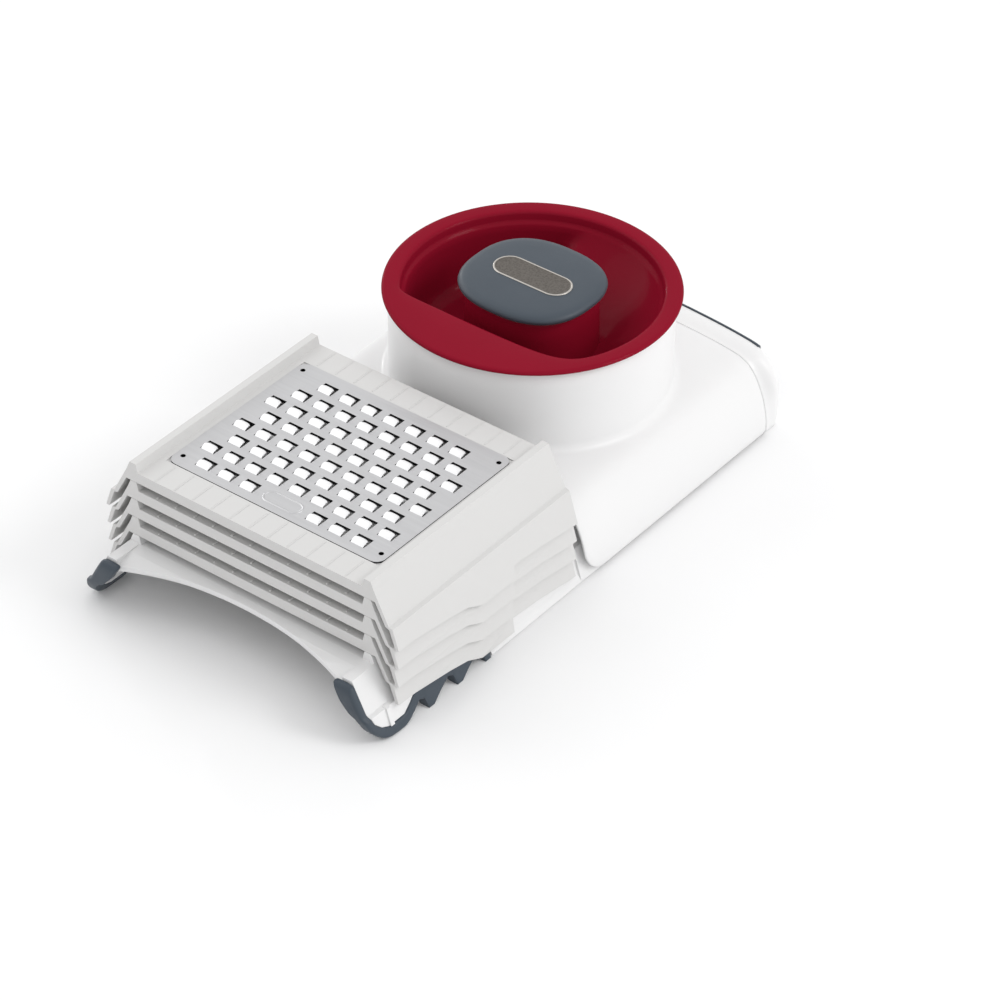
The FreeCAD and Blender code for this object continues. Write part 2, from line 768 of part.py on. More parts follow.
# ---------------------------------------------------------------- hopper carriage
def lower_corner(body, name):
    """Side view of what rounds off the carriage's lower front corner: a square less a quarter circle."""
    sketch = new_sketch(body, name, "YZ_Plane", "0")
    front = value("carriage_front")
    floor = value("carriage_floor")
    radius = value("front_round")
    centre = Vector(front + radius, floor + radius, 0)
    inset = centre - Vector(radius, radius, 0) * 0.5 ** 0.5
    corner = Vector(front, floor, 0)
    low = Vector(front + radius, floor, 0)
    high = Vector(front, floor + radius, 0)
    sketch.addGeometry(Part.Arc(high, inset, low))
    sketch.addGeometry(Part.LineSegment(low, corner))
    sketch.addGeometry(Part.LineSegment(corner, high))
    for first, first_end, second, second_end in ((0, 2, 1, 1), (1, 2, 2, 1), (2, 2, 0, 1)):
        sketch.addConstraint(Sketcher.Constraint("Coincident", first, first_end, second, second_end))
    pin_point(sketch, 1, 1, "carriage_front + front_round", "carriage_floor")
    pin_point(sketch, 1, 2, "carriage_front", "carriage_floor")
    pin_point(sketch, 2, 2, "carriage_front", "carriage_floor + front_round")
    index = sketch.addConstraint(Sketcher.Constraint("Radius", 0, radius))
    sketch.setExpression(f"Constraints[{index}]", bound("front_round"))
    return sketch


def make_hopper_carriage():
    body = new_body("hopper_carriage")
    outer = [
        ("carriage_half", "carriage_floor"),
        ("carriage_half - 0.4", "9"),
        ("carriage_half - 2.6", "18"),
        ("carriage_half - 5.8", "25"),
        ("carriage_half - 9.0", "29.6"),
        ("carriage_half - 12.4", "32.2"),
        ("carriage_half - 17.4", "33.8"),
        ("carriage_half - 28", "35.2"),
        ("carriage_half - 44", "36.3"),
        ("14", "carriage_top"),
    ]
    saddle = polygon(body, "saddle", "XZ_Plane", outer + mirrored(outer), "-carriage_front")
    add_pad(body, saddle, "carriage_rear - carriage_front", True)
    centre = [("0", "tower_centre")]
    add_pad(body, circles(body, "tower", centre, "tower_radius", "26"), "tower_top - 26")
    tunnel = [
        ("base_half + running_gap - 0.2", "carriage_floor - 1"),
        ("base_half + running_gap - 0.2", "carriage_floor"),
        ("carriage_half - 2.4", "9"),
        ("carriage_half - 4.6", "18"),
        ("carriage_half - 7.8", "25"),
        ("carriage_half - 11.0", "28.6"),
        ("carriage_half - 14.2", "31"),
        ("rail_outer + running_gap", "runway_level + rail_height + 0.4"),
    ]
    hollow = polygon(body, "tunnel", "XZ_Plane", tunnel + mirrored(tunnel), "-carriage_front + 1")
    cut(body, hollow, "carriage_rear - carriage_front + 2")
    bore = circles(body, "bore", centre, "bore_radius", "tower_top + 1")
    cut(body, bore, "tower_top - 20")
    cut(body, lower_corner(body, "front_corner"), "4 * base_half", both_ways=True)
    return body


# ---------------------------------------------------------------- pusher
def rounded_slab(body, name, half_across, half_along, corner, bottom, height):
    """A slab on the tower's axis with rounded corners."""
    low = (f"-({half_across})", f"tower_centre - ({half_along})")
    high = (half_across, f"tower_centre + {half_along}")
    add_pad(body, rectangle(body, name, "XY_Plane", low, high, bottom), height)
    round_edges(body, corner, is_upright)


def make_pusher_cup():
    cup = new_body("pusher_cup")
    centre = [("0", "tower_centre")]
    add_pad(cup, circles(cup, "rim", centre, "rim_radius", "rim_bottom"), "rim_top - rim_bottom")
    wall = circles(cup, "cup_wall", centre, "cup_radius", "cup_bottom")
    add_pad(cup, wall, "rim_bottom - cup_bottom")
    well = circle_part(cup, "well", "well_radius", "chord_setback", False, "rim_top")
    cut(cup, well, "rim_top - well_floor")
    low = "cup_bottom - 1"
    ledge = circle_part(cup, "ledge_hollow", "cup_radius - 2", "chord_setback + 2.2", True, low)
    cut(cup, ledge, "rim_bottom - cup_bottom", reverse=True)
    return cup


def make_grip_column():
    """The column that the palm pushes on, moulded apart so that the cup draws from its mould."""
    column = new_body("grip_column")
    rounded_slab(column, "column", "column_half", "column_depth", "column_corner",
                 "well_floor", "rim_top - well_floor")
    low = ("-14", "tower_centre - 13")
    high = ("14", "tower_centre + 13")
    hollow = rectangle(column, "column_hollow", "XY_Plane", low, high, "well_floor")
    cut(column, hollow, "rim_top - well_floor - 3", reverse=True)
    return column


def make_grip_cap():
    cap = new_body("grip_cap")
    rounded_slab(cap, "cap", "cap_half", "cap_depth", "cap_corner", "rim_top", "grip_top - rim_top")
    round_edges(cap, "2.5", lies_at_height(value("grip_top")))
    low = ("-badge_half", "tower_centre - badge_depth")
    high = ("badge_half", "tower_centre + badge_depth")
    seat = rectangle(cap, "badge_seat", "XY_Plane", low, high, "grip_top")
    cut(cap, seat, "badge_inlay")
    round_edges(cap, "badge_depth - 0.2", upright_at(value("badge_half")))
    return cap


def make_grip_badge():
    badge = new_body("grip_badge")
    rounded_slab(badge, "badge", "badge_half - 0.1", "badge_depth - 0.1", "badge_depth - 0.3",
                 "grip_top - badge_inlay", "badge_inlay - 0.15")
    return badge


def prong_places():
    """Twelve pins: a ring of four inside a ring of eight."""
    inner = [("20", "0"), ("-20", "0"), ("0", "20"), ("0", "-20")]
    outer = [(f"{a * 40}", "0") for a in (1, -1)] + [("0", f"{a * 40}") for a in (1, -1)]
    outer += [(f"{a * 28.3}", f"{b * 28.3}") for a in (1, -1) for b in (1, -1)]
    return [(x, f"tower_centre + ({y})") for x, y in inner + outer]


def screw_places():
    return [("30", "tower_centre - 8"), ("-30", "tower_centre - 8"), ("0", "tower_centre + 31")]


def make_prong_plate():
    plate = new_body("prong_plate")
    centre = [("0", "tower_centre")]
    disc = circles(plate, "prong_disc", centre, "cup_radius - 0.4", "prong_plate_bottom")
    add_pad(plate, disc, "cup_bottom - prong_plate_bottom")
    holes = circles(plate, "prong_holes", prong_places(), "prong_radius", "cup_bottom")
    cut(plate, holes, "cup_bottom - prong_plate_bottom")
    holes = circles(plate, "screw_heads", screw_places(), "2.8", "prong_plate_bottom")
    cut(plate, holes, "1.8", reverse=True)
    holes = circles(plate, "screw_shanks", screw_places(), "1.5", "cup_bottom")
    cut(plate, holes, "cup_bottom - prong_plate_bottom")
    return plate


def pin_group(label, places, head_radius, head_bottom, head_height, stem_radius, stem_height):
    """Identical turned pieces in one node: a head or point, and a stem above it."""
    pieces = []
    for i, (x, y) in enumerate(places):
        head = doc.addObject("Part::Cone", f"{label}_head_{i}")
        head.setExpression("Radius1", bound(head_radius[0]))
        head.setExpression("Radius2", bound(head_radius[1]))
        head.setExpression("Height", bound(head_height))
        head.setExpression("Placement.Base.z", bound(head_bottom))
        stem = doc.addObject("Part::Cylinder", f"{label}_stem_{i}")
        stem.setExpression("Radius", bound(stem_radius))
        stem.setExpression("Height", bound(stem_height))
        stem.setExpression("Placement.Base.z", bound(f"{head_bottom} + {head_height}"))
        for solid in (head, stem):
            solid.setExpression("Placement.Base.x", bound(x))
            solid.setExpression("Placement.Base.y", bound(y))
        piece = doc.addObject("Part::Fuse", f"{label}_piece_{i}")
        piece.Base = head
        piece.Tool = stem
        pieces.append(piece)
    group = doc.addObject("Part::Compound", label)
    group.Label = label
    group.Links = pieces
    group.setExpression("Placement.Base.y", bound("-stack_to_middle"))
    return group


# ---------------------------------------------------------------- build
make_base_shell()
make_foot_grip("left")
make_foot_grip("right")
make_rear_end_cap()
make_rear_grip_pad()

make_slicing_insert("thick_slice", "working_level", "thick_cut")
make_slicing_insert("thin_slice", "working_level + nest_pitch", "thin_cut")
make_slicing_insert("julienne", "working_level + 2 * nest_pitch", "julienne_cut")
make_julienne_teeth("working_level + 2 * nest_pitch")
make_grater_frame()
make_grater_plate()
rivet_group("grater_rivets", grater_level(), grater_rivet_places(), "0.2", "-plate_thickness")

make_hopper_carriage()

make_pusher_cup()
make_grip_column()
make_grip_cap()
make_grip_badge()
make_prong_plate()
pin_group("food_prongs", prong_places(), ("0.3", "prong_radius - 0.02"), "prong_tip", "2.2",
          "prong_radius - 0.02", "cup_bottom - prong_tip - 2.2")
pin_group("prong_plate_screws", screw_places(), ("2.7", "2.7"), "prong_plate_bottom + 0.2", "1.5",
          "1.4", "cup_bottom - prong_plate_bottom - 1.7")

doc.recompute()

SUB_PARTS = [
    "base_shell", "foot_grip_left", "foot_grip_right", "rear_end_cap", "rear_grip_pad",
    "thick_slice_frame", "thick_slice_blade", "thick_slice_rivets",
    "thin_slice_frame", "thin_slice_blade", "thin_slice_rivets",
    "julienne_frame", "julienne_blade", "julienne_rivets", "julienne_teeth",
    "grater_frame", "grater_plate", "grater_rivets",
    "hopper_carriage",
    "pusher_cup", "grip_column", "grip_cap", "grip_badge", "prong_plate", "food_prongs",
    "prong_plate_screws",
]

for item in doc.Objects:
    if {"Invalid", "Error"} & set(item.State):
        raise RuntimeError(f"{item.Label} did not compute: {item.State}")
os.makedirs("parts", exist_ok=True)
for label in SUB_PARTS:
    shape = doc.getObjectsByLabel(label)[0].Shape
    if shape.isNull() or not shape.isValid():
        raise RuntimeError(f"{label} has no valid shape")
    print(f"{label}: {len(shape.Solids)} solid(s), {shape.Volume / 1000:.2f} cm3")
for label in SUB_PARTS:
    doc.getObjectsByLabel(label)[0].Shape.exportStep(f"parts/{label}.step")
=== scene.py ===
# %% [markdown]
# # A mandoline slicer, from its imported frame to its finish
# The slicer is a base that hooks over a bowl, a stack of blade inserts on its nose, and a
# hopper with a red pusher that slides behind them. The frame holds every part at its real
# size and place. This lesson dresses it: it gives each moulding its soft edges and its
# gloss, and it builds anew the few pieces whose shape is softer than a machine drawing.

# %% Load the frame
import json
import math

import bmesh
import bpy
from mathutils import Matrix, Vector


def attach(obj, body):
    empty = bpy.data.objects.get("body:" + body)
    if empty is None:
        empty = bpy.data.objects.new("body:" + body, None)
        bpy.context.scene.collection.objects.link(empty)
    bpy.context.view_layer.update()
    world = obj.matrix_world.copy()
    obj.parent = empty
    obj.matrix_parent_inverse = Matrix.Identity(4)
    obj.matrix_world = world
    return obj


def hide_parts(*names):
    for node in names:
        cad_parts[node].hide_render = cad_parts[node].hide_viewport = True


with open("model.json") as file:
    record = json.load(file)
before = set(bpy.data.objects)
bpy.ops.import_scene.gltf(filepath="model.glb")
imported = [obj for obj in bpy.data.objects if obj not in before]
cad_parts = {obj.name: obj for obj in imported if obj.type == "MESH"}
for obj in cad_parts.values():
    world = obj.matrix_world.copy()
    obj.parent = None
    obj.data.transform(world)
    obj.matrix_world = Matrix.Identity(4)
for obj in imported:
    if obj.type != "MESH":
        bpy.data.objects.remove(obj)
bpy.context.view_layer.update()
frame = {"nodes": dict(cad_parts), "record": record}
nodes = frame["nodes"]
MM = 0.001
print("nodes:", len(nodes))

# %% [markdown]
# ## Camera
# The slicer is shown from above its front right corner. A wide lens close by would swell the
# nose and shrink the rear. A long lens far away keeps the straight rails nearly parallel, as
# kitchenware is usually shown, and that is why it is used here.

# %% Camera
AZIMUTH = math.radians(36.904)
ELEVATION = math.radians(37.482)
ROLL = math.radians(0.978)
DISTANCE = 1629.1 * MM
AIM = Vector((16.19, 18.07, 0.0)) * MM
LENS = 146.93
SENSOR_WIDTH = 36.0
CLIP_END = 20.0


def add_camera():
    """Place the camera on a ball round the aim point and roll it slightly."""
    back = Vector((
        math.sin(AZIMUTH) * math.cos(ELEVATION),
        -math.cos(AZIMUTH) * math.cos(ELEVATION),
        math.sin(ELEVATION),
    ))
    level_right = Vector((math.cos(AZIMUTH), math.sin(AZIMUTH), 0.0))
    level_up = back.cross(level_right)
    right = level_right * math.cos(ROLL) + level_up * math.sin(ROLL)
    up = level_up * math.cos(ROLL) - level_right * math.sin(ROLL)
    data = bpy.data.cameras.new("camera")
    data.lens = LENS
    data.sensor_width = SENSOR_WIDTH
    data.clip_end = CLIP_END
    camera = bpy.data.objects.new("camera", data)
    bpy.context.scene.collection.objects.link(camera)
    turn = Matrix((right, up, back)).transposed()
    camera.matrix_world = Matrix.Translation(AIM + back * DISTANCE) @ turn.to_4x4()
    bpy.context.scene.camera = camera
    return camera


camera = add_camera()
print("camera at", [round(c, 3) for c in camera.matrix_world.translation])

# %% [markdown]
# ## Light
# Gloss shows only where there is something to reflect. Lamps alone in a black room would
# leave hard streaks on the white plastic, so the slicer stands in a white tent: a world that
# gets brighter overhead and at the sides. Three round lamps add soft shadows and one glint.

# %% Node helper
def add_node(tree, kind, inputs=None, **settings):
    """Add a node, set its properties, and link or set each of its inputs."""
    node = tree.nodes.new(kind)
    for key, setting in settings.items():
        setattr(node, key, setting)
    for key, setting in (inputs or {}).items():
        if isinstance(setting, bpy.types.NodeSocket):
            tree.links.new(setting, node.inputs[key])
        else:
            node.inputs[key].default_value = setting
    return node


# %% White tent
SKY_LEVEL = 0.56         # from the horizon on every side
SKY_OVERHEAD = 0.35      # added straight above
SKY_SIDES = 0.48         # added to the left and to the right
SKY_REAR = 0.15          # added behind the slicer, taken away in front of it


def combine(tree, operation, first, second):
    """A sum or a product of two world values; the second may be a plain number."""
    node = add_node(tree, "ShaderNodeMath", {0: first, 1: second}, operation=operation)
    return node.outputs["Value"]


def add_tent():
    """A white world whose strength follows the direction of view."""
    world = bpy.data.worlds.new("white_tent")
    world.use_nodes = True
    tree = world.node_tree
    background = tree.nodes["Background"]
    background.inputs["Color"].default_value = (1.0, 1.0, 1.0, 1.0)
    place = add_node(tree, "ShaderNodeTexCoord")
    parts = add_node(tree, "ShaderNodeSeparateXYZ", {"Vector": place.outputs["Generated"]})
    x, y, z = (parts.outputs[axis] for axis in "XYZ")
    level = combine(tree, "ADD", combine(tree, "MULTIPLY", z, SKY_OVERHEAD), SKY_LEVEL)
    for direction, share in ((combine(tree, "MULTIPLY", x, x), SKY_SIDES), (y, SKY_REAR)):
        level = combine(tree, "ADD", level, combine(tree, "MULTIPLY", direction, share))
    tree.links.new(level, background.inputs["Strength"])
    bpy.context.scene.world = world
    bpy.context.scene.view_settings.view_transform = "Standard"
    return world


print("world:", add_tent().name)

# %% Lamps
# Name, place and aim in metres, width in metres and power in watts.
LAMPS = [
    ("lamp_right", (1.3, 0.5, 1.25), (0, 0, 0.03), 0.7, 7.5),
    ("lamp_left", (-1.5, -0.4, 1.0), (0, 0, 0.03), 1.5, 4.5),
    ("lamp_glint", (-1.7, 0.85, 0.62), (0, 0, 0.07), 0.07, 2.0),
]


def add_round_lamp(name, place, aim, width, power):
    """A soft round lamp at a place, turned to face a point."""
    data = bpy.data.lights.new(name, "AREA")
    data.shape = "DISK"
    data.size = width
    data.energy = power
    lamp = bpy.data.objects.new(name, data)
    lamp.location = place
    lamp.rotation_euler = (Vector(aim) - Vector(place)).to_track_quat("-Z", "Y").to_euler()
    bpy.context.scene.collection.objects.link(lamp)
    return lamp


print("lamps:", [add_round_lamp(*lamp).name for lamp in LAMPS])

# %% [markdown]
# ## Recipes for the finishes
# Every finish starts as one Principled shader. Image textures could carry its grain, but
# they need an unwrapped mesh and blur when the camera comes close. Noise in object space
# needs neither and nothing slides when the view changes, so all the recipes use it.

# %% Helpers for the recipes
MIX_FIRST, MIX_SECOND, MIX_RESULT = 6, 7, 2     # the colour sockets of a Mix node


def start_material(name, colour, roughness):
    """A new material with its Principled shader set to plain values."""
    material = bpy.data.materials.new(name)
    material.use_nodes = True
    tree = material.node_tree
    shader = tree.nodes["Principled BSDF"]
    shader.inputs["Base Color"].default_value = (*colour, 1.0)
    shader.inputs["Roughness"].default_value = roughness
    return material, tree, shader


def object_noise(tree, scale, detail=2.0, stretch=(1.0, 1.0, 1.0)):
    """Noise in object space; stretch makes grain."""
    place = add_node(tree, "ShaderNodeTexCoord")
    mapping = add_node(tree, "ShaderNodeMapping", {
        "Vector": place.outputs["Object"], "Scale": stretch})
    noise = add_node(tree, "ShaderNodeTexNoise", {
        "Vector": mapping.outputs["Vector"], "Scale": scale, "Detail": detail})
    return noise.outputs["Fac"]


def tint(tree, shader, factor, first, second):
    """Blend the base colour between two plain colours."""
    node = add_node(tree, "ShaderNodeMix", {
        "Factor": factor, MIX_FIRST: (*first, 1.0), MIX_SECOND: (*second, 1.0)}, data_type="RGBA")
    tree.links.new(node.outputs[MIX_RESULT], shader.inputs["Base Color"])


def spread(tree, factor, low, high):
    """Map a 0 to 1 value to a range."""
    node = add_node(tree, "ShaderNodeMapRange", {"Value": factor, "To Min": low, "To Max": high})
    return node.outputs["Result"]


def roughen(tree, shader, factor, low, high):
    """Spread the roughness over a range."""
    tree.links.new(spread(tree, factor, low, high), shader.inputs["Roughness"])


def add_bump(tree, shader, height, strength, distance):
    """Feed a height value to the shader's normal."""
    bump = add_node(tree, "ShaderNodeBump", {
        "Height": height, "Strength": strength, "Distance": distance})
    tree.links.new(bump.outputs["Normal"], shader.inputs["Normal"])


# %% [markdown]
# ## Moulded plastic
# The base, the hopper, the inserts and the red pusher are injection mouldings. One flat
# colour with one gloss would look like paint. A real moulding varies a little in gloss, and
# a fine orange-peel skin breaks up its reflections, so the recipe blends two near colours,
# spreads the roughness and adds a very shallow bump.

# %% Plastic
CLOUD_SCALE, GLOSS_SCALE, SKIN_SCALE = 35.0, 160.0, 2600.0
SKIN_DETAIL = 3.0
SKIN_HEIGHT = 0.00006
COAT_ROUGHNESS = 0.1


def moulded_plastic(name, colour, shade, rough, skin, gloss=0.4, coat=0.0):
    """Injection-moulded plastic: two near colours, uneven gloss and a fine skin."""
    material, tree, shader = start_material(name, colour, rough[0])
    shader.inputs["Specular IOR Level"].default_value = gloss
    shader.inputs["Coat Weight"].default_value = coat
    shader.inputs["Coat Roughness"].default_value = COAT_ROUGHNESS
    tint(tree, shader, object_noise(tree, CLOUD_SCALE), shade, colour)
    roughen(tree, shader, object_noise(tree, GLOSS_SCALE), *rough)
    add_bump(tree, shader, object_noise(tree, SKIN_SCALE, SKIN_DETAIL), skin, SKIN_HEIGHT)
    return material


WHITE_GLOSS = moulded_plastic(
    "white_gloss_shell", (0.825, 0.823, 0.823), (0.81, 0.808, 0.81), (0.26, 0.36), skin=0.05)
WHITE_SATIN = moulded_plastic(
    "white_satin_insert", (0.665, 0.660, 0.652), (0.65, 0.645, 0.638), (0.34, 0.46), skin=0.08)
RED_GLOSS = moulded_plastic(
    "cherry_red_gloss", (0.265, 0.007, 0.023), (0.235, 0.006, 0.020), (0.20, 0.28),
    skin=0.10, gloss=0.01, coat=0.06)
print("plastics:", [finish.name for finish in (WHITE_GLOSS, WHITE_SATIN, RED_GLOSS)])

# %% [markdown]
# ## Soft rubber
# The feet, the palm cap and the rear strip are soft-touch rubber. It is matt, yet not flat:
# a dusty sheen lifts its edges. A rough plastic would miss that, so the recipe uses the
# shader's sheen with a fine grain.

# %% Rubber
RUBBER_GLOSS = 0.38
RUBBER_SHEEN, SHEEN_ROUGHNESS = 0.08, 0.4
RUBBER_ROUGH = (0.36, 0.52)
RUBBER_CLOUD, RUBBER_SMEAR, RUBBER_GRAIN = 60.0, 220.0, 3500.0
RUBBER_DETAIL = 4.0
GRAIN_STRENGTH, GRAIN_HEIGHT = 0.35, 0.00008


def soft_rubber(name, colour, shade):
    """Soft-touch rubber: matt, with a dusty sheen and a fine grain."""
    material, tree, shader = start_material(name, colour, RUBBER_ROUGH[1])
    shader.inputs["Specular IOR Level"].default_value = RUBBER_GLOSS
    shader.inputs["Sheen Weight"].default_value = RUBBER_SHEEN
    shader.inputs["Sheen Roughness"].default_value = SHEEN_ROUGHNESS
    tint(tree, shader, object_noise(tree, RUBBER_CLOUD, RUBBER_DETAIL), shade, colour)
    roughen(tree, shader, object_noise(tree, RUBBER_SMEAR), *RUBBER_ROUGH)
    add_bump(tree, shader, object_noise(tree, RUBBER_GRAIN), GRAIN_STRENGTH, GRAIN_HEIGHT)
    return material


SLATE_RUBBER = soft_rubber("slate_rubber", (0.055, 0.071, 0.090), (0.046, 0.061, 0.079))
print("rubber:", SLATE_RUBBER.name)

# %% [markdown]
# ## Steel
# The plate, the blades and the rivets are brushed steel, whose strokes smear a reflection
# along one direction. Anisotropy needs tangents on every mesh. Noise stretched along the
# strokes gives much the same look on any mesh, so it drives colour, roughness and bump.
# The grip's badge is stamped with dimples instead, and cells of noise make those; its colour
# darkens in each dimple's hollow, a painted shade.

# %% Brushed steel
STROKE_SCALE = 900.0
STROKE_DETAIL = 3.0
STROKE_STRENGTH, STROKE_HEIGHT = 0.25, 0.00004
SMOOTHER, ROUGHER = 0.8, 1.25


def brushed_steel(name, colour, shade, roughness, stretch=(1.0, 1.0, 1.0)):
    """Steel with a brushed grain: noise stretched along the strokes."""
    material, tree, shader = start_material(name, colour, roughness)
    shader.inputs["Metallic"].default_value = 1.0
    grain = object_noise(tree, STROKE_SCALE, STROKE_DETAIL, stretch)
    tint(tree, shader, grain, shade, colour)
    roughen(tree, shader, grain, roughness * SMOOTHER, roughness * ROUGHER)
    add_bump(tree, shader, grain, STROKE_STRENGTH, STROKE_HEIGHT)
    return material


GRATER_STEEL = brushed_steel(
    "grater_steel", (0.66, 0.66, 0.67), (0.56, 0.56, 0.57), 0.38, (0.05, 1.0, 1.0))
# The tongues' steel is painted far brighter than the sheet's: a painted highlight, as the raised
# tongues catch the bright sky.
TONGUE_STEEL_HIGHLIGHT = brushed_steel(
    "tongue_steel_painted_highlight", (0.97, 0.97, 0.975), (0.90, 0.90, 0.91), 0.42, (0.3, 1.0, 1.0))
BLADE_STEEL = brushed_steel(
    "blade_steel", (0.70, 0.70, 0.71), (0.60, 0.60, 0.61), 0.22, (1.0, 0.06, 1.0))
BADGE_BORDER = brushed_steel("badge_border", (0.62, 0.59, 0.55), (0.50, 0.47, 0.44), 0.22)
# Near-black steel, used as painted shade: under the grater sheet, on the walls of its openings and
# on the rivets.
STEEL_PAINTED_SHADE = brushed_steel("steel_painted_shade", (0.10, 0.10, 0.105), (0.06, 0.06, 0.065), 0.30)

# %% Dimpled steel
DIMPLE_SCALE = 1100.0
DIMPLE_DEPTH = 1.6
DIMPLE_STRENGTH, DIMPLE_HEIGHT = 0.6, 0.0001
DIMPLE_ROUGHER = 1.3


def dimpled_steel(name, colour, shade, roughness):
    """Dark steel stamped with a fine field of dimples, with painted shade in each hollow."""
    material, tree, shader = start_material(name, colour, roughness)
    shader.inputs["Metallic"].default_value = 1.0
    place = add_node(tree, "ShaderNodeTexCoord")
    cells = add_node(tree, "ShaderNodeTexVoronoi", {
        "Vector": place.outputs["Object"], "Scale": DIMPLE_SCALE})
    dimples = spread(tree, cells.outputs["Distance"], 0.0, DIMPLE_DEPTH)
    # the colour darkens towards each dimple's middle, where the bump is lowest: painted shade
    tint(tree, shader, dimples, shade, colour)
    roughen(tree, shader, dimples, roughness, roughness * DIMPLE_ROUGHER)
    add_bump(tree, shader, dimples, DIMPLE_STRENGTH, DIMPLE_HEIGHT)
    return material


BADGE_STEEL = dimpled_steel("badge_steel", (0.17, 0.155, 0.14), (0.10, 0.09, 0.08), 0.34)
print("materials:", sorted(m.name for m in bpy.data.materials))

# %% [markdown]
# ## The table
# The table is a large pale sheet with a faint unevenness in its finish. A plane with an edge
# in view would draw the eye, so one quad reaches far beyond the view. It isn't part of the
# slicer, so it goes on the stage.

# %% Table
TABLE_SIZE = 8.0


def add_table():
    """One large quad at floor level."""
    mesh = bpy.data.meshes.new("table")
    half = TABLE_SIZE / 2
    corners = [(-half, -half, 0), (half, -half, 0), (half, half, 0), (-half, half, 0)]
    mesh.from_pydata(corners, [], [(0, 1, 2, 3)])
    table = bpy.data.objects.new("table", mesh)
    bpy.context.scene.collection.objects.link(table)
    mesh.materials.append(moulded_plastic(
        "pale_table", (0.94, 0.94, 0.943), (0.932, 0.932, 0.935), (0.7, 0.8), skin=0.02))
    return table


print("table:", add_table().name, TABLE_SIZE, "m")

# %% [markdown]
# ## Finishes on the machined parts
# Where a part's real shape is already right, it only needs its finish and softer edges. The
# edges could be cut again on a copy of the mesh. Modifiers leave the frame's own mesh
# untouched: Weld joins its faces, and Bevel rounds each edge a little, as a mould does.

# %% Soft edges and finishes
FINISHES = {
    "white_gloss": WHITE_GLOSS,
    "white_satin": WHITE_SATIN,
    "red_gloss": RED_GLOSS,
    "slate_rubber": SLATE_RUBBER,
    "blade_steel": BLADE_STEEL,
    "badge_steel": BADGE_STEEL,
}
PLAIN_EDGE = 0.18
EDGES = {"base_shell": 0.45, "food_prongs": 0.1, "julienne_teeth": 0.05, "prong_plate": 0.5}
EDGE_SEGMENTS = 2
EDGE_ANGLE = math.radians(32)
SAME_POINT = 1e-6


def dress_node(name, finish, edge):
    """Give a CAD node its material and rounded edges."""
    part = nodes[name]
    part.data.materials.clear()
    part.data.materials.append(finish)
    weld = part.modifiers.new("join_faces", "WELD")
    weld.merge_threshold = SAME_POINT
    bevel = part.modifiers.new("soft_edges", "BEVEL")
    bevel.width = edge
    bevel.segments = EDGE_SEGMENTS
    bevel.limit_method = "ANGLE"
    bevel.angle_limit = EDGE_ANGLE
    bevel.harden_normals = True


for row in frame["record"]["subparts"]:
    dress_node(row["node"], FINISHES[row["material_slot"]], EDGES.get(row["node"], PLAIN_EDGE) * MM)
# The rivets are painted near black so they read as the dark holes they sit in: painted shade.
nodes["grater_rivets"].data.materials[0] = STEEL_PAINTED_SHADE

# %% [markdown]
# ## Building soft shapes
# The remaining pieces flow from one section into another. Subdivision would round them, but
# it shrinks a shape and its size is harder to hold. They are lofts instead: rings of points,
# each placed by measure, joined by quads. Lengths are in millimetres, and y counts from the
# front of the insert stack, as on the machine drawing.

# %% Placing and adding a piece
STACK_TO_MIDDLE = 116.0
BODY_OF = {node: body for body, held in frame["record"]["behaviour"]["bodies"].items()
           for node in held}


def at(x, y, z):
    """A point of the drawing in the frame's metres."""
    return (x * MM, (y - STACK_TO_MIDDLE) * MM, z * MM)


def add_piece(name, points, faces, finishes, stands_for):
    """A smooth mesh piece with outward normals, bound to the CAD node that it stands for."""
    mesh = bpy.data.meshes.new(name)
    mesh.from_pydata(points, [], faces)
    for finish in finishes:
        mesh.materials.append(finish)
    work = bmesh.new()
    work.from_mesh(mesh)
    bmesh.ops.remove_doubles(work, verts=work.verts, dist=SAME_POINT)
    bmesh.ops.recalc_face_normals(work, faces=work.faces)
    for face in work.faces:
        face.smooth = True
    work.to_mesh(mesh)
    work.free()
    piece = bpy.data.objects.new(name, mesh)
    bpy.context.scene.collection.objects.link(piece)
    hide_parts(stands_for)
    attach(piece, BODY_OF[stands_for])
    print(name, len(mesh.vertices), "vertices")
    return piece


# %% Lofts
def ring_faces(rings, count, close_rings=False, close_count=True):
    """Quads between successive rings that all have the same number of points."""
    faces = []
    for i in range(rings if close_rings else rings - 1):
        this, after = i * count, (i + 1) % rings * count
        for j in range(count if close_count else count - 1):
            k = (j + 1) % count
            faces.append((this + j, this + k, after + k, after + j))
    return faces


def capped_loft(name, rings, finishes, stands_for):
    """A piece along a row of closed rings, with a flat cap on the first and the last."""
    count = len(rings[0])
    points = [point for ring in rings for point in ring]
    faces = ring_faces(len(rings), count)
    faces += [tuple(range(count)), tuple(range(len(points) - count, len(points)))]
    return add_piece(name, points, faces, finishes, stands_for)


def round_loft(name, spokes, finishes, stands_for, closed_spokes=True):
    """A piece from spokes that go all the way round an axis."""
    points = [point for spoke in spokes for point in spoke]
    faces = ring_faces(len(spokes), len(spokes[0]), close_rings=True, close_count=closed_spokes)
    return add_piece(name, points, faces, finishes, stands_for)


def crisp(piece, name, degrees):
    """Keep the folds that are sharper than an angle."""
    split = piece.modifiers.new(name, "EDGE_SPLIT")
    split.split_angle = math.radians(degrees)


# %% Lines and blends
def blend(first, second, share):
    """A value part of the way from the first to the second."""
    return first + (second - first) * share


def smooth_step(low, high, value):
    """0 below low, 1 above high, and a soft rise between."""
    t = min(max((value - low) / (high - low), 0.0), 1.0)
    return t * t * (3 - 2 * t)


def read_line(line, value):
    """The second value of a line of pairs, at a given first value."""
    for (a, low), (b, high) in zip(line, line[1:]):
        if value <= b:
            return blend(low, high, max((value - a) / (b - a), 0.0))
    return line[-1][1]


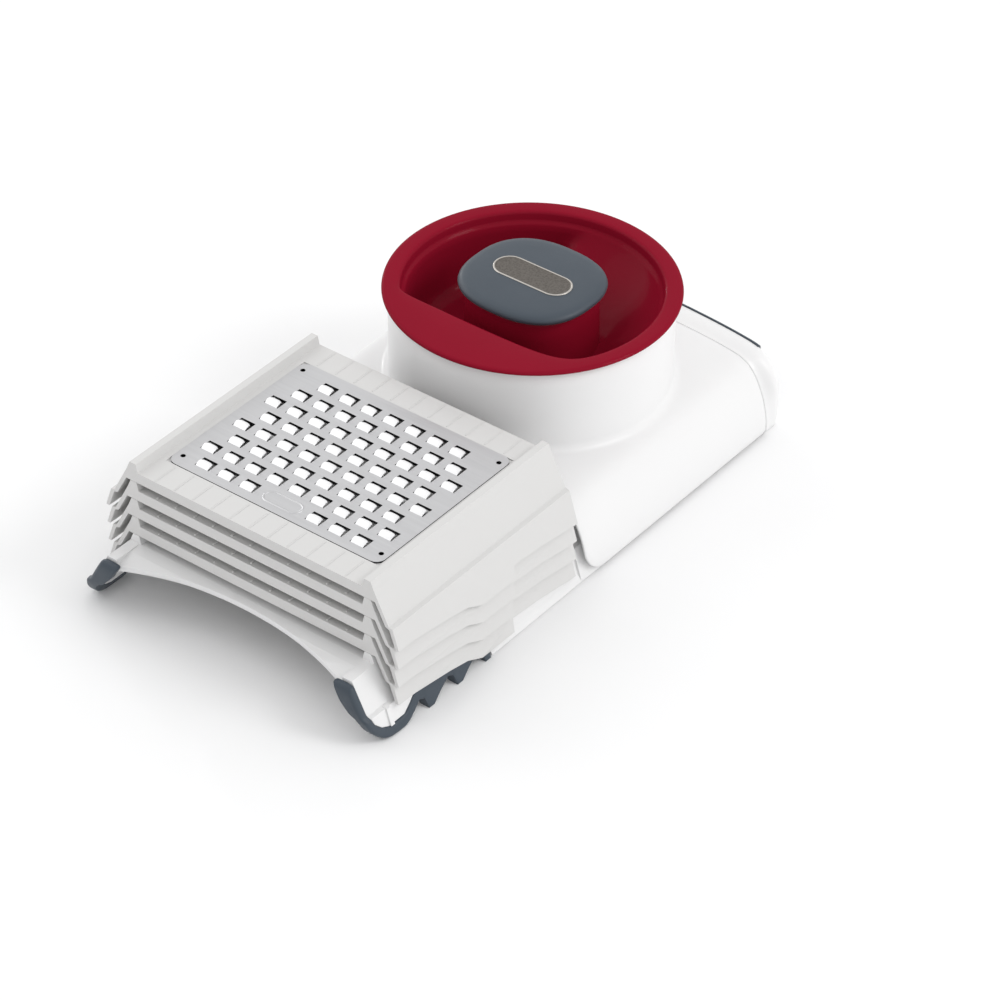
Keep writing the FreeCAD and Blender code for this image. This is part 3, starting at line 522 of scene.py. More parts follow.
def smooth_line(points, steps, closed=False):
    """A Catmull-Rom curve through the points, with some steps in each span."""
    count = len(points)
    line = []
    for i in range(count if closed else count - 1):
        if closed:
            four = [points[(i + k) % count] for k in (-1, 0, 1, 2)]
        else:
            four = [points[min(max(i + k, 0), count - 1)] for k in (-1, 0, 1, 2)]
        a, b, c, d = (Vector(p) for p in four)
        for step in range(steps):
            t = step / steps
            bend = 2 * b + (c - a) * t + (2 * a - 5 * b + 4 * c - d) * t ** 2
            line.append(tuple((bend + (3 * b - a - 3 * c + d) * t ** 3) / 2))
    if not closed:
        line.append(tuple(points[-1]))
    return line


# %% [markdown]
# ## The rubber feet
# A rubber strip edges each cheek: it curls round the cheek's front like a toe, and its three
# teeth hook over a bowl's rim. A flat outline pushed out sideways would give it square
# edges. A sweep suits it better: each step of the run has a place on the strip's outer edge
# and one on the hem where it meets the cheek, and a soft-cornered section spans the two. The
# toe's steps lie on a curve, and the teeth keep their straight flanks.

# %% Outline of a foot
# Steps of (outer y, outer z, hem y, hem z): over the toe, down its nose and back along its sole.
FOOT_TOE = smooth_line([
    (-14.9, 24.0, -13.1, 24.0), (-16.4, 21.6, -13.1, 21.0), (-16.7, 16.5, -13.1, 16.5),
    (-16.2, 11.0, -13.0, 12.0), (-14.4, 6.4, -11.6, 8.4), (-11.0, 2.6, -8.6, 5.6),
    (-7.0, 0.5, -5.2, 4.3), (-2.5, 0.0, -2.0, 4.0), (3.0, 0.0, 4.0, 4.2), (8.0, 1.4, 8.0, 6.4),
    (13.0, 5.0, 12.5, 9.4),
], 6)
# (y, z) of the first tooth: it drops to the floor, runs flat and climbs a slanting flank.
TOOTH = [(15.4, 4.0), (16.2, 0.0), (17.7, 0.0), (19.2, 0.0), (24.7, 2.5), (30.3, 5.0)]
TOOTH_SOLE = 4           # the last tooth has no flank, only these first points
TOOTH_PITCH = 17.25
TEETH = 3
FOOT_END = (55.0, 4.4, 55.0, 6.0)
FOOT_HEM = [(12.5, 9.4), (35.3, 8.8), (40.3, 7.4), (45.5, 6.2), (60.0, 6.0)]       # (y, z)


def foot_run():
    """Every step of the strip: the toe's curve, then the teeth."""
    run = list(FOOT_TOE)
    for tooth in range(TEETH):
        last = tooth == TEETH - 1
        for y, z in TOOTH[:TOOTH_SOLE] if last else TOOTH:
            y += tooth * TOOTH_PITCH
            run.append((y, z, y, read_line(FOOT_HEM, y)))
    return run + [FOOT_END]


print("steps along a foot:", len(foot_run()))

# %% Section of a foot
FOOT_FLANK = [                                                   # (z, x of the outer face)
    (0.0, 73.9), (3.6, 72.0), (11.1, 69.5), (12.2, 67.5), (22.5, 62.0), (25.0, 60.6)]
FOOT_THICK = [(0.0, 5.2), (8.0, 5.2), (17.0, 8.4), (25.0, 8.8)]                # (z, thickness)
FOOT_CORNER = 0.8
SOLE_CORNER = 2.6        # rounder under the toe
SOLE_FADE = (6.0, 13.0)  # y over which the toe's round corner becomes the teeth's
CORNER_LIMIT = 0.45      # of the section's length
CORNER_STEPS = 6


def foot_section(step, side, grow):
    """A soft-cornered ring across the strip, shrunk towards its middle near the ends."""
    outer_y, outer_z, hem_y, hem_z = step
    length = math.dist((outer_y, outer_z), (hem_y, hem_z))
    thick = read_line(FOOT_THICK, outer_z)
    sole = blend(FOOT_CORNER, SOLE_CORNER, 1 - smooth_step(*SOLE_FADE, outer_y))
    corners = [(length, thick, FOOT_CORNER), (0.0, thick, sole),
               (0.0, 0.0, FOOT_CORNER), (length, 0.0, FOOT_CORNER)]
    ring = []
    for quarter, (u, v, corner) in enumerate(corners):
        corner = min(corner, length * CORNER_LIMIT)
        middle_u = u - corner if u else corner
        middle_v = v - corner if v else corner
        for k in range(CORNER_STEPS + 1):
            turn = math.radians(90 * (quarter + k / CORNER_STEPS))
            along = (middle_u + corner * math.cos(turn)) / length
            through = middle_v + corner * math.sin(turn)
            along = 0.5 + (along - 0.5) * grow
            through = thick / 2 + (through - thick / 2) * grow
            y = blend(outer_y, hem_y, along)
            z = max(blend(outer_z, hem_z, along), 0.0)
            ring.append(at(side * (read_line(FOOT_FLANK, z) - thick + through), y, z))
    return ring


# %% Both feet
FOOT_START_SHARES = [0.62, 0.84, 0.95]
FOOT_END_SHARE = 0.7
TOOTH_FOLD = 40


def make_foot(name, side, stands_for):
    """One rubber foot, with its ends drawn in."""
    run = foot_run()
    shares = FOOT_START_SHARES + [1.0] * (len(run) - len(FOOT_START_SHARES) - 1)
    rings = [foot_section(step, side, share)
             for step, share in zip(run, shares + [FOOT_END_SHARE])]
    crisp(capped_loft(name, rings, [SLATE_RUBBER], stands_for), "crisp_teeth", TOOTH_FOLD)


make_foot("toe_rubber_left", -1, "foot_grip_left")
make_foot("toe_rubber_right", 1, "foot_grip_right")

# %% [markdown]
# ## The hopper carriage
# The saddle is a sheet bent over the rails, and the round tower that holds the food grows
# out of it. A cylinder joined to a bent plate by a boolean would leave a hard seam where the
# real moulding has a soft fillet. Here each spoke of the mesh runs from the bore, over the
# tower's lip, down the fillet, out across the saddle and round its hem, then back along the
# underside, so the fillet is simply part of the path.

# %% Saddle sheet
SHEET = 1.1
SADDLE = smooth_line([                                           # (x, z) from crown to hem
    (0, 36.8), (16, 36.7), (31, 36.3), (46.8, 35.2), (57.6, 33.8), (62.6, 32.1), (66.0, 29.4),
    (69.2, 24.8), (72.3, 17.8), (74.3, 9.5), (74.8, 2.2),
], 8)
TINY = 1e-9


def measure_sheet():
    """Running length along the saddle's section, one value for each of its points."""
    lengths = [0.0]
    for a, b in zip(SADDLE, SADDLE[1:]):
        lengths.append(lengths[-1] + math.dist(a, b))
    return lengths


SHEET_LENGTHS = measure_sheet()
SHEET_HALF = SHEET_LENGTHS[-1]
print("saddle over its curve:", round(2 * SHEET_HALF, 1), "mm")


def on_sheet(across, inset=0.0):
    """(x, z) of the saddle at a signed length from its crown, moved inwards by the inset."""
    reach = min(abs(across), SHEET_HALF)
    i = next(k for k, length in enumerate(SHEET_LENGTHS[1:]) if length >= reach - TINY)
    a, b = Vector(SADDLE[i]), Vector(SADDLE[i + 1])
    share = (reach - SHEET_LENGTHS[i]) / (SHEET_LENGTHS[i + 1] - SHEET_LENGTHS[i])
    along = (b - a).normalized()
    place = a.lerp(b, share) + Vector((along.y, -along.x)) * inset
    return math.copysign(place.x, across), place.y


# %% Hem of the saddle
HALF_RUN = 61.2          # from the tower's axis to the front and the rear hem
FRONT_CORNER = 12.0
REAR_CORNER = 1.0
HALVINGS = 40


def hem_distance(angle):
    """How far a spoke runs on the flattened sheet before it meets the hem."""
    across, along = math.cos(angle), math.sin(angle)
    corner = FRONT_CORNER if along < 0 else REAR_CORNER
    low, high = 0.0, SHEET_HALF + HALF_RUN
    for _ in range(HALVINGS):
        middle = (low + high) / 2
        x = abs(across) * middle - SHEET_HALF + corner
        y = abs(along) * middle - HALF_RUN + corner
        outside = math.hypot(max(x, 0), max(y, 0)) + min(max(x, y), 0) - corner
        low, high = (middle, high) if outside < 0 else (low, middle)
    return low


print("hem in front:", round(hem_distance(-math.pi / 2), 1), "mm from the axis")

# %% Tower and saddle
TOWER_CENTRE = 174.7
TOWER_RADIUS = 57.4
TOWER_TOP = 73.5
BORE_RADIUS = 54.4
BORE_MIDDLE = 55
BORE_START = 0.5         # above the sheet's underside
LIP = 0.7                # rounding of the tower's lip
FILLET = 3.5
HEM_ROUND = 0.5
HEM_BULGE = 0.4          # how far the hem's edge leans to the middle of the sheet
WALL_STEPS, FILLET_STEPS, TOP_STEPS, UNDER_STEPS = 4, 8, 18, 10


def carriage_spoke(angle):
    """One closed section of the carriage, from the bore round the hem and back."""
    across, along = math.cos(angle), math.sin(angle)
    hem = hem_distance(angle)

    def outer(radius, lift=0.0):
        x, z = on_sheet(radius * across)
        return at(x, TOWER_CENTRE + radius * along, z + lift)

    def inner(radius):
        x, z = on_sheet(radius * across, SHEET)
        return at(x, TOWER_CENTRE + radius * along, z)

    def tower(radius, z):
        return at(radius * across, TOWER_CENTRE + radius * along, z)

    foot = on_sheet(TOWER_RADIUS * across)[1] + FILLET
    spoke = [
        tower(BORE_RADIUS, on_sheet(BORE_RADIUS * across, SHEET)[1] + BORE_START),
        tower(BORE_RADIUS, BORE_MIDDLE),
        tower(BORE_RADIUS, TOWER_TOP - LIP),
        tower(BORE_RADIUS + LIP, TOWER_TOP),
        tower(TOWER_RADIUS - LIP, TOWER_TOP),
        tower(TOWER_RADIUS, TOWER_TOP - LIP),
    ]
    spoke += [tower(TOWER_RADIUS, blend(TOWER_TOP - LIP, foot, k / WALL_STEPS))
              for k in range(1, WALL_STEPS)]
    for k in range(FILLET_STEPS + 1):
        turn = math.radians(90 * k / FILLET_STEPS)
        spoke.append(outer(TOWER_RADIUS + FILLET * (1 - math.cos(turn)),
                           FILLET * (1 - math.sin(turn))))
    start = TOWER_RADIUS + FILLET
    end = max(hem - HEM_ROUND, start)
    spoke += [outer(blend(start, end, k / TOP_STEPS)) for k in range(1, TOP_STEPS + 1)]
    edge = Vector(outer(hem)).lerp(Vector(inner(hem)), 0.5)
    spoke += [tuple(Vector(side(hem)).lerp(edge, HEM_BULGE)) for side in (outer, inner)]
    spoke += [inner(blend(end, BORE_RADIUS, k / UNDER_STEPS)) for k in range(UNDER_STEPS + 1)]
    return spoke


# %% The carriage
CARRIAGE_SPOKES = 300
CORNER_SPOKES = 6        # extra ones on each side of a rounded front corner
CORNER_SPOKE_STEP = 0.7  # degrees
ANGLE_DIGITS = 6         # spokes that agree to this many digits are one


def make_carriage():
    """Spokes all the way round, with extra ones at the hem's corners."""
    corner = math.atan2(HALF_RUN, SHEET_HALF)
    angles = [math.tau * k / CARRIAGE_SPOKES for k in range(CARRIAGE_SPOKES)]
    angles += [corner, math.pi - corner]
    for middle in (-corner, corner - math.pi):
        angles += [middle + math.radians(k * CORNER_SPOKE_STEP)
                   for k in range(-CORNER_SPOKES, CORNER_SPOKES + 1)]
    angles = sorted({round(a % math.tau, ANGLE_DIGITS) for a in angles})
    spokes = [carriage_spoke(angle) for angle in angles]
    round_loft("carriage_shell", spokes, [WHITE_GLOSS], "hopper_carriage")


make_carriage()

# %% [markdown]
# ## The rear block
# The block closes the base behind the rails. At rest the saddle runs straight into it, and
# only a hairline parts them, so the block's first section has to be the saddle's own. A
# bevelled box couldn't match it. The loft starts with the saddle's line and swells to the
# block's over the first half of its depth, and its edges are rounded off towards the rear.

# %% Sections of the block
BLOCK_FRONT = 236.1
BLOCK_DEPTH = 11.9
BLOCK_HALF = 74.8
BLOCK_TOP = 37.8
BLOCK_BOW, BOW_POWER = 0.8, 2.2
SWELL_PART, ROUND_PART = 0.55, 0.45      # shares of the depth
OUTLINE_STEPS = 60
BLOCK = smooth_line([                                            # (x, z) from crown to floor
    (0, BLOCK_TOP), (20, 37.6), (40.8, 36.5), (54.8, 35.2), (61.5, 34.1), (65.6, 32.4),
    (69.4, 29.4), (72.6, 25.2), (74.4, 20.6), (74.8, 14), (74.7, 7), (74.2, 2.0),
], 5)
BLOCK_FOOT = [(74.0, 1.0), (73.2, 0.2), (72.4, 0.0), (60, 0.0), (30, 0.0), (0, 0.0)]


def block_rear(x):
    """Where the slightly bowed rear face lies for a place across the block."""
    return BLOCK_FRONT + BLOCK_DEPTH - BLOCK_BOW * (abs(x) / BLOCK_HALF) ** BOW_POWER


def along_line(line, share):
    """The point at a share of a line's whole length."""
    lengths = [math.dist(a, b) for a, b in zip(line, line[1:])]
    left = share * sum(lengths)
    for a, b, length in zip(line, line[1:], lengths):
        if left <= length:
            return Vector(a).lerp(Vector(b), left / length)
        left -= length
    return Vector(line[-1])


def block_outline(depth):
    """The saddle's own section where the two meet, swelling to the block's section behind."""
    share = smooth_step(0.0, SWELL_PART, depth)
    half = []
    for k in range(OUTLINE_STEPS + 1):
        along = k / OUTLINE_STEPS
        half.append(along_line(SADDLE, along).lerp(along_line(BLOCK, along), share))
    half += [Vector(point) for point in BLOCK_FOOT]
    return half + [Vector((-x, z)) for x, z in reversed(half[1:-1])]


def block_ring(depth, shrink, drop):
    """One section of the block: a share of its depth, drawn in at the sides and the top."""
    ring = []
    for x, z in block_outline(depth):
        x *= (BLOCK_HALF - shrink) / BLOCK_HALF
        z *= (BLOCK_TOP - drop) / BLOCK_TOP
        ring.append(at(x, blend(BLOCK_FRONT, block_rear(x), depth), max(z, 0.0)))
    return ring


# %% The block
# Steps of (share of the depth, drawn in at each side, drawn in at the top).
BLOCK_SEAM = [(0.0, 0.2, 0.2), (0.01, 0.05, 0.05), (0.03, 0.0, 0.0)]
BLOCK_REAR_FACE = [(1.0, 8.0, 3.5), (1.0, 20.0, 10.0), (1.0, 50.0, 24.0)]
ROUND_SIDE, ROUND_TOP = 5.0, 1.8
SWELL_STEPS, ROUND_STEPS = 8, 10


def make_rear_block():
    """The rounded block behind the runway."""
    steps = list(BLOCK_SEAM)
    steps += [(SWELL_PART * k / SWELL_STEPS, 0.0, 0.0) for k in range(1, SWELL_STEPS)]
    for k in range(1, ROUND_STEPS + 1):
        turn = math.radians(90 * k / ROUND_STEPS)
        shy = 1 - math.cos(turn)
        steps.append((SWELL_PART + ROUND_PART * math.sin(turn), ROUND_SIDE * shy, ROUND_TOP * shy))
    rings = [block_ring(*step) for step in steps + BLOCK_REAR_FACE]
    capped_loft("rear_block", rings, [WHITE_GLOSS], "rear_end_cap")


make_rear_block()

# %% [markdown]
# ## The rear strip
# A band of rubber keeps the rear end from slipping in the hand. It follows the block's top
# edge, which is crowned, so a straight bar wouldn't lie on it. Its section is drawn once,
# measured down from the edge, and placed anew at every step across the block.

# %% Rubber strip
STRIP_HALF = 62.0
STRIP_STEPS = 60
STRIP_SPANS = 3
STRIP_LOW = [(-1.6, 13), (0.0, 12.4), (0.45, 13.2)]                       # (behind, z)
STRIP_HIGH = [                                        # (behind, below the block's top edge)
    (0.5, 6), (0.35, 2.0), (-0.1, 0.9), (-0.9, 0.35), (-1.7, 0.6), (-1.9, 2.0)]


def top_of_block(x):
    """Height of the block's top for a place across it."""
    i = next(k for k, (edge, _) in enumerate(BLOCK[1:]) if edge >= abs(x))
    (x0, z0), (x1, z1) = BLOCK[i], BLOCK[i + 1]
    return blend(z0, z1, (abs(x) - x0) / (x1 - x0))


def make_rear_strip():
    """A curved rubber strip on the block's rear face, just below its top edge."""
    rings = []
    for k in range(STRIP_STEPS + 1):
        x = blend(-STRIP_HALF, STRIP_HALF, k / STRIP_STEPS)
        top = top_of_block(x)
        section = STRIP_LOW + [(behind, top - below) for behind, below in STRIP_HIGH]
        rings.append([at(x, block_rear(x) + behind, z)
                      for behind, z in smooth_line(section, STRIP_SPANS, closed=True)])
    capped_loft("rear_rubber_strip", rings, [SLATE_RUBBER], "rear_grip_pad")


make_rear_strip()

# %% [markdown]
# ## The pusher's cup
# The cup presses the food down inside the tower. A lathe would turn it, but its well isn't
# quite round: a straight ledge crosses its front, and at one side its floor climbs to the
# rim, where the fingers slide in. So it is lofted from spokes like the carriage. The well's
# edge is the soft minimum of the circle and the ledge's straight chord.

# %% Edge of the well
WELL_RADIUS = 52.4
CHORD = 35.6
CHORD_REACH = -0.2       # only the spokes that point further forward can meet the ledge
SOFTNESS, SKEW = 3.6, 2.4


def well_edge(angle):
    """Radius of the well's edge in one direction."""
    across, along = math.cos(angle), math.sin(angle)
    if along > CHORD_REACH:
        return WELL_RADIUS
    softness = SOFTNESS + SKEW * across
    chord = CHORD / -along
    terms = math.exp(-WELL_RADIUS / softness) + math.exp(-chord / softness)
    return -softness * math.log(terms)


print("ledge at", round(well_edge(-math.pi / 2), 1), "mm, well at", well_edge(0.0), "mm")

# %% Finger ramp
RAMP_NEAR = (-40, 25)    # degrees over which the ramp begins
RAMP_FAR = (84.0, 124.0) # degrees where it ends, by the wall and by the column
RAMP_FAR_SOFT = 4
RAMP_WIND = 1.3


def ramp_share(angle, depth):
    """How much of the ramp there is: its far edge winds round from the wall to the column."""
    turn = (math.degrees(angle) + 180) % 360 - 180
    far = blend(*RAMP_FAR, min(depth * RAMP_WIND, 1.0))
    end = smooth_step(far - RAMP_FAR_SOFT, far + RAMP_FAR_SOFT, turn)
    return smooth_step(*RAMP_NEAR, turn) * (1 - end)


# %% The cup
# (radius, z) from under the cup's middle, up its side and over the rim.
CUP_OUTSIDE = [
    (0.0, 42.0), (30, 42.0), (53.2, 42.0), (53.8, 42.4), (54.0, 43), (54.0, 58), (54.0, 73.2),
    (54.4, 73.6), (59.0, 73.6), (59.75, 73.85), (60.0, 74.4), (59.8, 75.0), (59.2, 75.4),
    (58.2, 75.5),
]
RIM_MIDDLE = 75.45
# (outside the well's edge, z) across the rim, then (inside the edge, z) down the two walls.
CUP_RIM = [(1.8, 75.4), (1.0, 75.25), (0.35, 74.8), (0.0, 74.1)]
DEEP_WALL = [
    (0.1, 72.0), (0.4, 71.2), (1.2, 70.6), (1.7, 69.8), (2.0, 67), (2.4, 62), (2.9, 56),
    (3.8, 51.5), (5.6, 48.4), (8.4, 46.7), (12, 46.1), (17, 46),
]
RAMP_WALL = [
    (0.1, 72.0), (0.4, 71.2), (1.3, 70.4), (2.0, 69.2), (3.4, 67.2), (5.6, 64.6), (8.4, 61.8),
    (11.6, 59.0), (15, 56.2), (18.4, 53.6), (21.8, 51.4), (25, 50),
]
COLUMN_FOOT = 20.0       # radius where the wall's floor goes under the column
FLOOR_DEEP, FLOOR_RAMP, FLOOR_MIDDLE = 46.0, 49.0, 47.0
CUP_SPOKES = 288


def cup_spoke(angle):
    """Half a section of the cup, from under its middle, round the rim and into the well."""
    edge = well_edge(angle)
    rim = [(blend(CUP_OUTSIDE[-1][0], edge + CUP_RIM[0][0], 0.5), RIM_MIDDLE)]
    rim += [(edge + out, z) for out, z in CUP_RIM]
    wall = []
    for k, (deep, ramp) in enumerate(zip(DEEP_WALL, RAMP_WALL)):
        share = ramp_share(angle, k / (len(DEEP_WALL) - 1))
        wall.append((edge - blend(deep[0], ramp[0], share), blend(deep[1], ramp[1], share)))
    floor = [(COLUMN_FOOT, blend(FLOOR_DEEP, FLOOR_RAMP, ramp_share(angle, 1.0))),
             (0.0, FLOOR_MIDDLE)]
    return [at(r * math.cos(angle), TOWER_CENTRE + r * math.sin(angle), z)
            for r, z in CUP_OUTSIDE + rim + wall + floor]


def make_cup():
    """Spokes all the way round the hopper's axis."""
    spokes = [cup_spoke(math.tau * k / CUP_SPOKES) for k in range(CUP_SPOKES)]
    round_loft("pusher_bowl", spokes, [RED_GLOSS], "pusher_cup", closed_spokes=False)


make_cup()

# %% [markdown]
# ## The palm grip
# The palm rests on a domed rubber cap over a red column, with a metal badge let into it.
# Bevelled cylinders would have round outlines and one even edge. Each piece has its own
# outline instead, a superellipse for column and cap and a stadium for the badge, and a stack
# of such rings, drawn in and lifted step by step, gives the dome and its rounded edge.

# %% Outlines of the grip
OVAL_STEPS, STADIUM_STEPS = 120, 96


def superellipse(half_across, half_along, power):
    """Points of a soft-cornered oval."""
    points = []
    for k in range(OVAL_STEPS):
        turn = math.tau * k / OVAL_STEPS
        x, y = math.cos(turn), math.sin(turn)
        points.append((math.copysign(abs(x) ** (2 / power), x) * half_across,
                       math.copysign(abs(y) ** (2 / power), y) * half_along))
    return points


def stadium(half_across, half_along):
    """Points of a slot shape: two half circles joined by straight sides."""
    points = []
    for k in range(STADIUM_STEPS):
        turn = math.tau * (k + 0.5) / STADIUM_STEPS
        x = math.copysign(half_across - half_along, math.cos(turn)) + half_along * math.cos(turn)
        points.append((x, half_along * math.sin(turn)))
    return points


def stack_rings(name, outline, steps, finishes, stands_for):
    """A closed piece from rings of one outline; each step is (inset, height)."""
    rings = [[at(x, TOWER_CENTRE + y, z) for x, y in outline(inset)] for inset, z in steps]
    return capped_loft(name, rings, finishes, stands_for)


# %% Column and cap
# Half widths across and along, and the power that squares off the oval.
COLUMN_OVAL = (25.8, 24.6, 2.5)
CAP_OVAL = (28.8, 26.8, 2.45)
COLUMN_STEPS = [
    (-3.2, 46.3), (-1.6, 46.9), (-0.6, 48.4), (-0.1, 51), (0, 56), (0.2, 66), (0.3, 72.5),
    (0.8, 74.0), (1.8, 74.8), (3.4, 75.1),
]
CAP_STEPS = [
    (5.0, 75.0), (2.4, 75.15), (1.0, 75.5), (0.25, 76.2), (0, 77.0), (0.25, 77.8), (0.9, 78.5),
    (2.0, 79.0), (4.0, 79.3), (8.0, 79.5), (14.0, 79.6), (20.0, 79.64),
]


def inset_oval(half_across, half_along, power):
    """A maker of ovals that are drawn in evenly from one outline."""
    return lambda inset: superellipse(half_across - inset, half_along - inset, power)


stack_rings("palm_column", inset_oval(*COLUMN_OVAL), COLUMN_STEPS, [RED_GLOSS], "grip_column")
stack_rings("palm_cap", inset_oval(*CAP_OVAL), CAP_STEPS, [SLATE_RUBBER], "grip_cap")

# %% Badge
BADGE_ACROSS, BADGE_ALONG = 18.2, 7.0
BADGE_STEPS = [
    (0.2, 79.2), (0.0, 79.7), (0.12, 79.9), (0.4, 79.98), (0.8, 79.9), (1.0, 79.72),
    (1.4, 79.7), (4.0, 79.7),
]
FIELD_REACH = 6.1        # the dimpled field's half width


def make_badge():
    """The blank metal badge: a bright border round a darker, dimpled field."""
    badge = stack_rings(
        "palm_badge", lambda inset: stadium(BADGE_ACROSS - inset, BADGE_ALONG - inset),
        BADGE_STEPS, [BADGE_BORDER, BADGE_STEEL], "grip_badge")
    for face in badge.data.polygons:
        x = abs(face.center.x / MM) - (BADGE_ACROSS - BADGE_ALONG)
        y = face.center.y / MM + STACK_TO_MIDDLE - TOWER_CENTRE
        face.material_index = int(math.hypot(max(x, 0.0), y) < FIELD_REACH)


make_badge()

# %% [markdown]
# ## The grater plate
# The plate is steel, pierced and raised into rows of teeth. Booleans could pierce it, but
# over sixty cuts are slow and leave ragged faces. The sheet is drawn as bands instead: a
# plain band, then a band that alternates metal and openings, and so on. Each opening has a
# tongue that springs from its front edge, rises, and curls over into a cutting edge. The
# tongues are painted a far brighter steel than the sheet: a painted highlight. The sheet's
# underside and its walls, those of the openings among them, are painted near black as
# painted shade, so the gaps where the food passes stay dark.

# %% Layout of the teeth
PLATE_HALF = 51.6
PLATE_FRONT = 13.2
PLATE_REAR = 95.0
PLATE_TOP = 59.5
PLATE_SHEET = 1.3
PLATE_CORNER = 4.2
TOOTH_ACROSS = 10.8
TOOTH_ALONG = 9.4
FIRST_ROW = 20.4
ROWS = 8
OPENING_WIDTH = 6.9
OPENING_LENGTH = 5.8
SIDE_COLUMNS = 4         # steps from the plate's middle to its last column


def tooth_columns(row):
    """Where the teeth of a row lie across the plate; rows are staggered by half a step."""
    if row % 2 == 0:
        columns = [k + 0.5 for k in range(-SIDE_COLUMNS, SIDE_COLUMNS)]
    else:
        columns = [float(k) for k in range(-SIDE_COLUMNS, SIDE_COLUMNS + 1)]
    if row == 0:                         # room for the stamped oval
        columns = [k for k in columns if abs(k) > 1]
    if row == ROWS - 1:                  # room for the rear corners
        columns = [k for k in columns if abs(k) < SIDE_COLUMNS]
    return [k * TOOTH_ACROSS for k in columns]


print("teeth:", sum(len(tooth_columns(row)) for row in range(ROWS)))

# %% Bands of the sheet
ARC_STEPS = 8


def rounded_band(front, rear, at_front):
    """Outline of the plate's first or last band, with its two outer corners rounded."""
    arcs = []
    for side in (-1, 1):
        arc = []
        for k in range(ARC_STEPS + 1):
            turn = math.radians(90 * k / ARC_STEPS)
            back = PLATE_CORNER * (1 - math.cos(turn))
            arc.append((side * (PLATE_HALF - PLATE_CORNER * (1 - math.sin(turn))),
                        front + back if at_front else rear - back))
        arcs.append(arc)
    left, right = arcs
    far = rear if at_front else front
    return [*reversed(left), *right, (PLATE_HALF, far), (-PLATE_HALF, far)]


def add_prism(points, faces, outline):
    """A flat piece of the sheet with a top, a bottom and walls."""
    first = len(points)
    count = len(outline)
    for z in (PLATE_TOP, PLATE_TOP - PLATE_SHEET):
        points += [at(x, y, z) for x, y in outline]
    faces.append(tuple(range(first, first + count)))
    faces.append(tuple(range(first + count, first + 2 * count)))
    for j in range(count):
        k = (j + 1) % count
        faces.append((first + j, first + k, first + count + k, first + count + j))


def add_slab(points, faces, left, right, front, rear):
    """A square-cornered piece of the sheet."""
    add_prism(points, faces, [(left, front), (right, front), (right, rear), (left, rear)])


def add_bands(points, faces):
    """The whole sheet, row by row; returns where the tongues spring from."""
    tongues = []
    edge = PLATE_FRONT
    for row in range(ROWS):
        middle = FIRST_ROW + row * TOOTH_ALONG
        front, rear = middle - OPENING_LENGTH / 2, middle + OPENING_LENGTH / 2
        if row == 0:
            add_prism(points, faces, rounded_band(edge, front, at_front=True))
        else:
            add_slab(points, faces, -PLATE_HALF, PLATE_HALF, edge, front)
        left = -PLATE_HALF
        for x in tooth_columns(row):
            add_slab(points, faces, left, x - OPENING_WIDTH / 2, front, rear)
            tongues.append((x, front))
            left = x + OPENING_WIDTH / 2
        add_slab(points, faces, left, PLATE_HALF, front, rear)
        edge = rear
    add_prism(points, faces, rounded_band(edge, PLATE_REAR, at_front=False))
    return tongues


# %% Tongues
TONGUE_STEPS = 8
TONGUE_MARGIN = 0.5      # the slit on each side
TONGUE_SHEET = 0.55
TONGUE_REACH = 3.5
TONGUE_RISE, RISE_PACE = 1.35, 1.25
CORNER_DROP = 0.30
TIP_DROP, TIP_START = 1.5, 0.85
NARROWING, NARROW_START = 0.08, 0.55
TIP_ROUND = 0.10


def tongue_point(x, front, u, v, layer):
    """A point of the tongue: u runs from -1 to 1 across it, v from 0 at its root to 1."""
    rise = TONGUE_RISE * math.sin(min(v * RISE_PACE, 1.0) * math.pi / 2)
    drop = CORNER_DROP * u ** 4 * v + TIP_DROP * max(v - TIP_START, 0)
    half = OPENING_WIDTH / 2 - TONGUE_MARGIN
    narrow = 1 - NARROWING * max(v - NARROW_START, 0.0)
    reach = TONGUE_REACH * v * (1 - TIP_ROUND * u ** 4 * v)
    return at(x + u * half * narrow, front + reach, PLATE_TOP + rise - drop + layer)


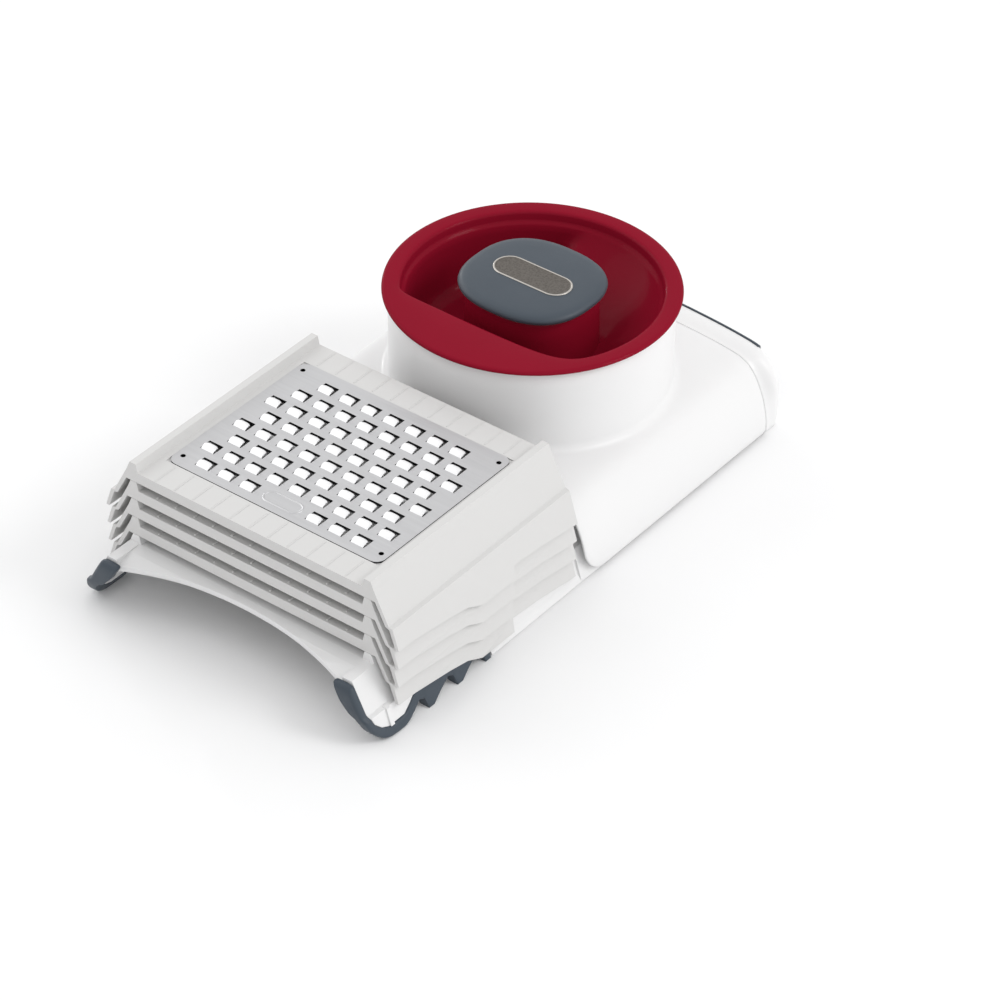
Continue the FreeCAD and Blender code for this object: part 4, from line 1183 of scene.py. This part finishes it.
def add_tongue(points, faces, x, front):
    """One tooth: a curled tongue that leaves a gap behind it and a slit on each side."""
    first = len(points)
    across = along = TONGUE_STEPS
    for layer in (0.0, -TONGUE_SHEET):
        for j in range(along + 1):
            for i in range(across + 1):
                points.append(tongue_point(x, front, 2 * i / across - 1, j / along, layer))
    under = (across + 1) * (along + 1)
    for layer in (0, under):
        for j in range(along):
            for i in range(across):
                a = first + layer + j * (across + 1) + i
                faces.append((a, a + 1, a + across + 2, a + across + 1))
    border = [j * (across + 1) for j in range(along, -1, -1)]
    border += list(range(1, across + 1))
    border += [j * (across + 1) + across for j in range(1, along + 1)]
    border += [along * (across + 1) + i for i in range(across - 1, 0, -1)]
    for j, a in enumerate(border):
        b = border[(j + 1) % len(border)]
        faces.append((first + a, first + b, first + under + b, first + under + a))


# %% The grater
OVAL_ACROSS, OVAL_ALONG = 9.2, 3.7
OVAL_RIDGE = [                                                   # (inset, lift)
    (0.0, 0.0), (0.25, 0.2), (0.5, 0.26), (0.75, 0.2), (1.0, 0.0), (0.5, -0.1)]
FLAT_NORMAL = 0.995
# faces lower than this below the top get the painted shade
PAINTED_SHADE_DEPTH = 0.3
SHEET_FOLD = 50


def add_oval(points, faces):
    """A blank oval ridge stamped in front of the first row."""
    first = len(points)
    for inset, lift in OVAL_RIDGE:
        points += [at(x, FIRST_ROW + y, PLATE_TOP + lift)
                   for x, y in stadium(OVAL_ACROSS - inset, OVAL_ALONG - inset)]
    faces += [tuple(first + k for k in face)
              for face in ring_faces(len(OVAL_RIDGE), STADIUM_STEPS, close_rings=True)]


def make_grater():
    """The sheet in bands, the blank oval, the tongues and three steels: plain, painted highlight,
    painted shade.
    """
    points, faces = [], []
    tongues = add_bands(points, faces)
    add_oval(points, faces)
    plain = len(faces)
    for x, front in tongues:
        add_tongue(points, faces, x, front)
    piece = add_piece("grater_sheet", points, faces, [GRATER_STEEL, TONGUE_STEEL_HIGHLIGHT, STEEL_PAINTED_SHADE],
                      "grater_plate")
    for face in piece.data.polygons:
        face.use_smooth = abs(face.normal.z) < FLAT_NORMAL
        # the sheet's underside and walls get the painted shade, the tongues the painted highlight
        under = face.center.z < (PLATE_TOP - PAINTED_SHADE_DEPTH) * MM
        face.material_index = 1 if face.index >= plain else (2 if under else 0)
    crisp(piece, "crisp_folds", SHEET_FOLD)


make_grater()
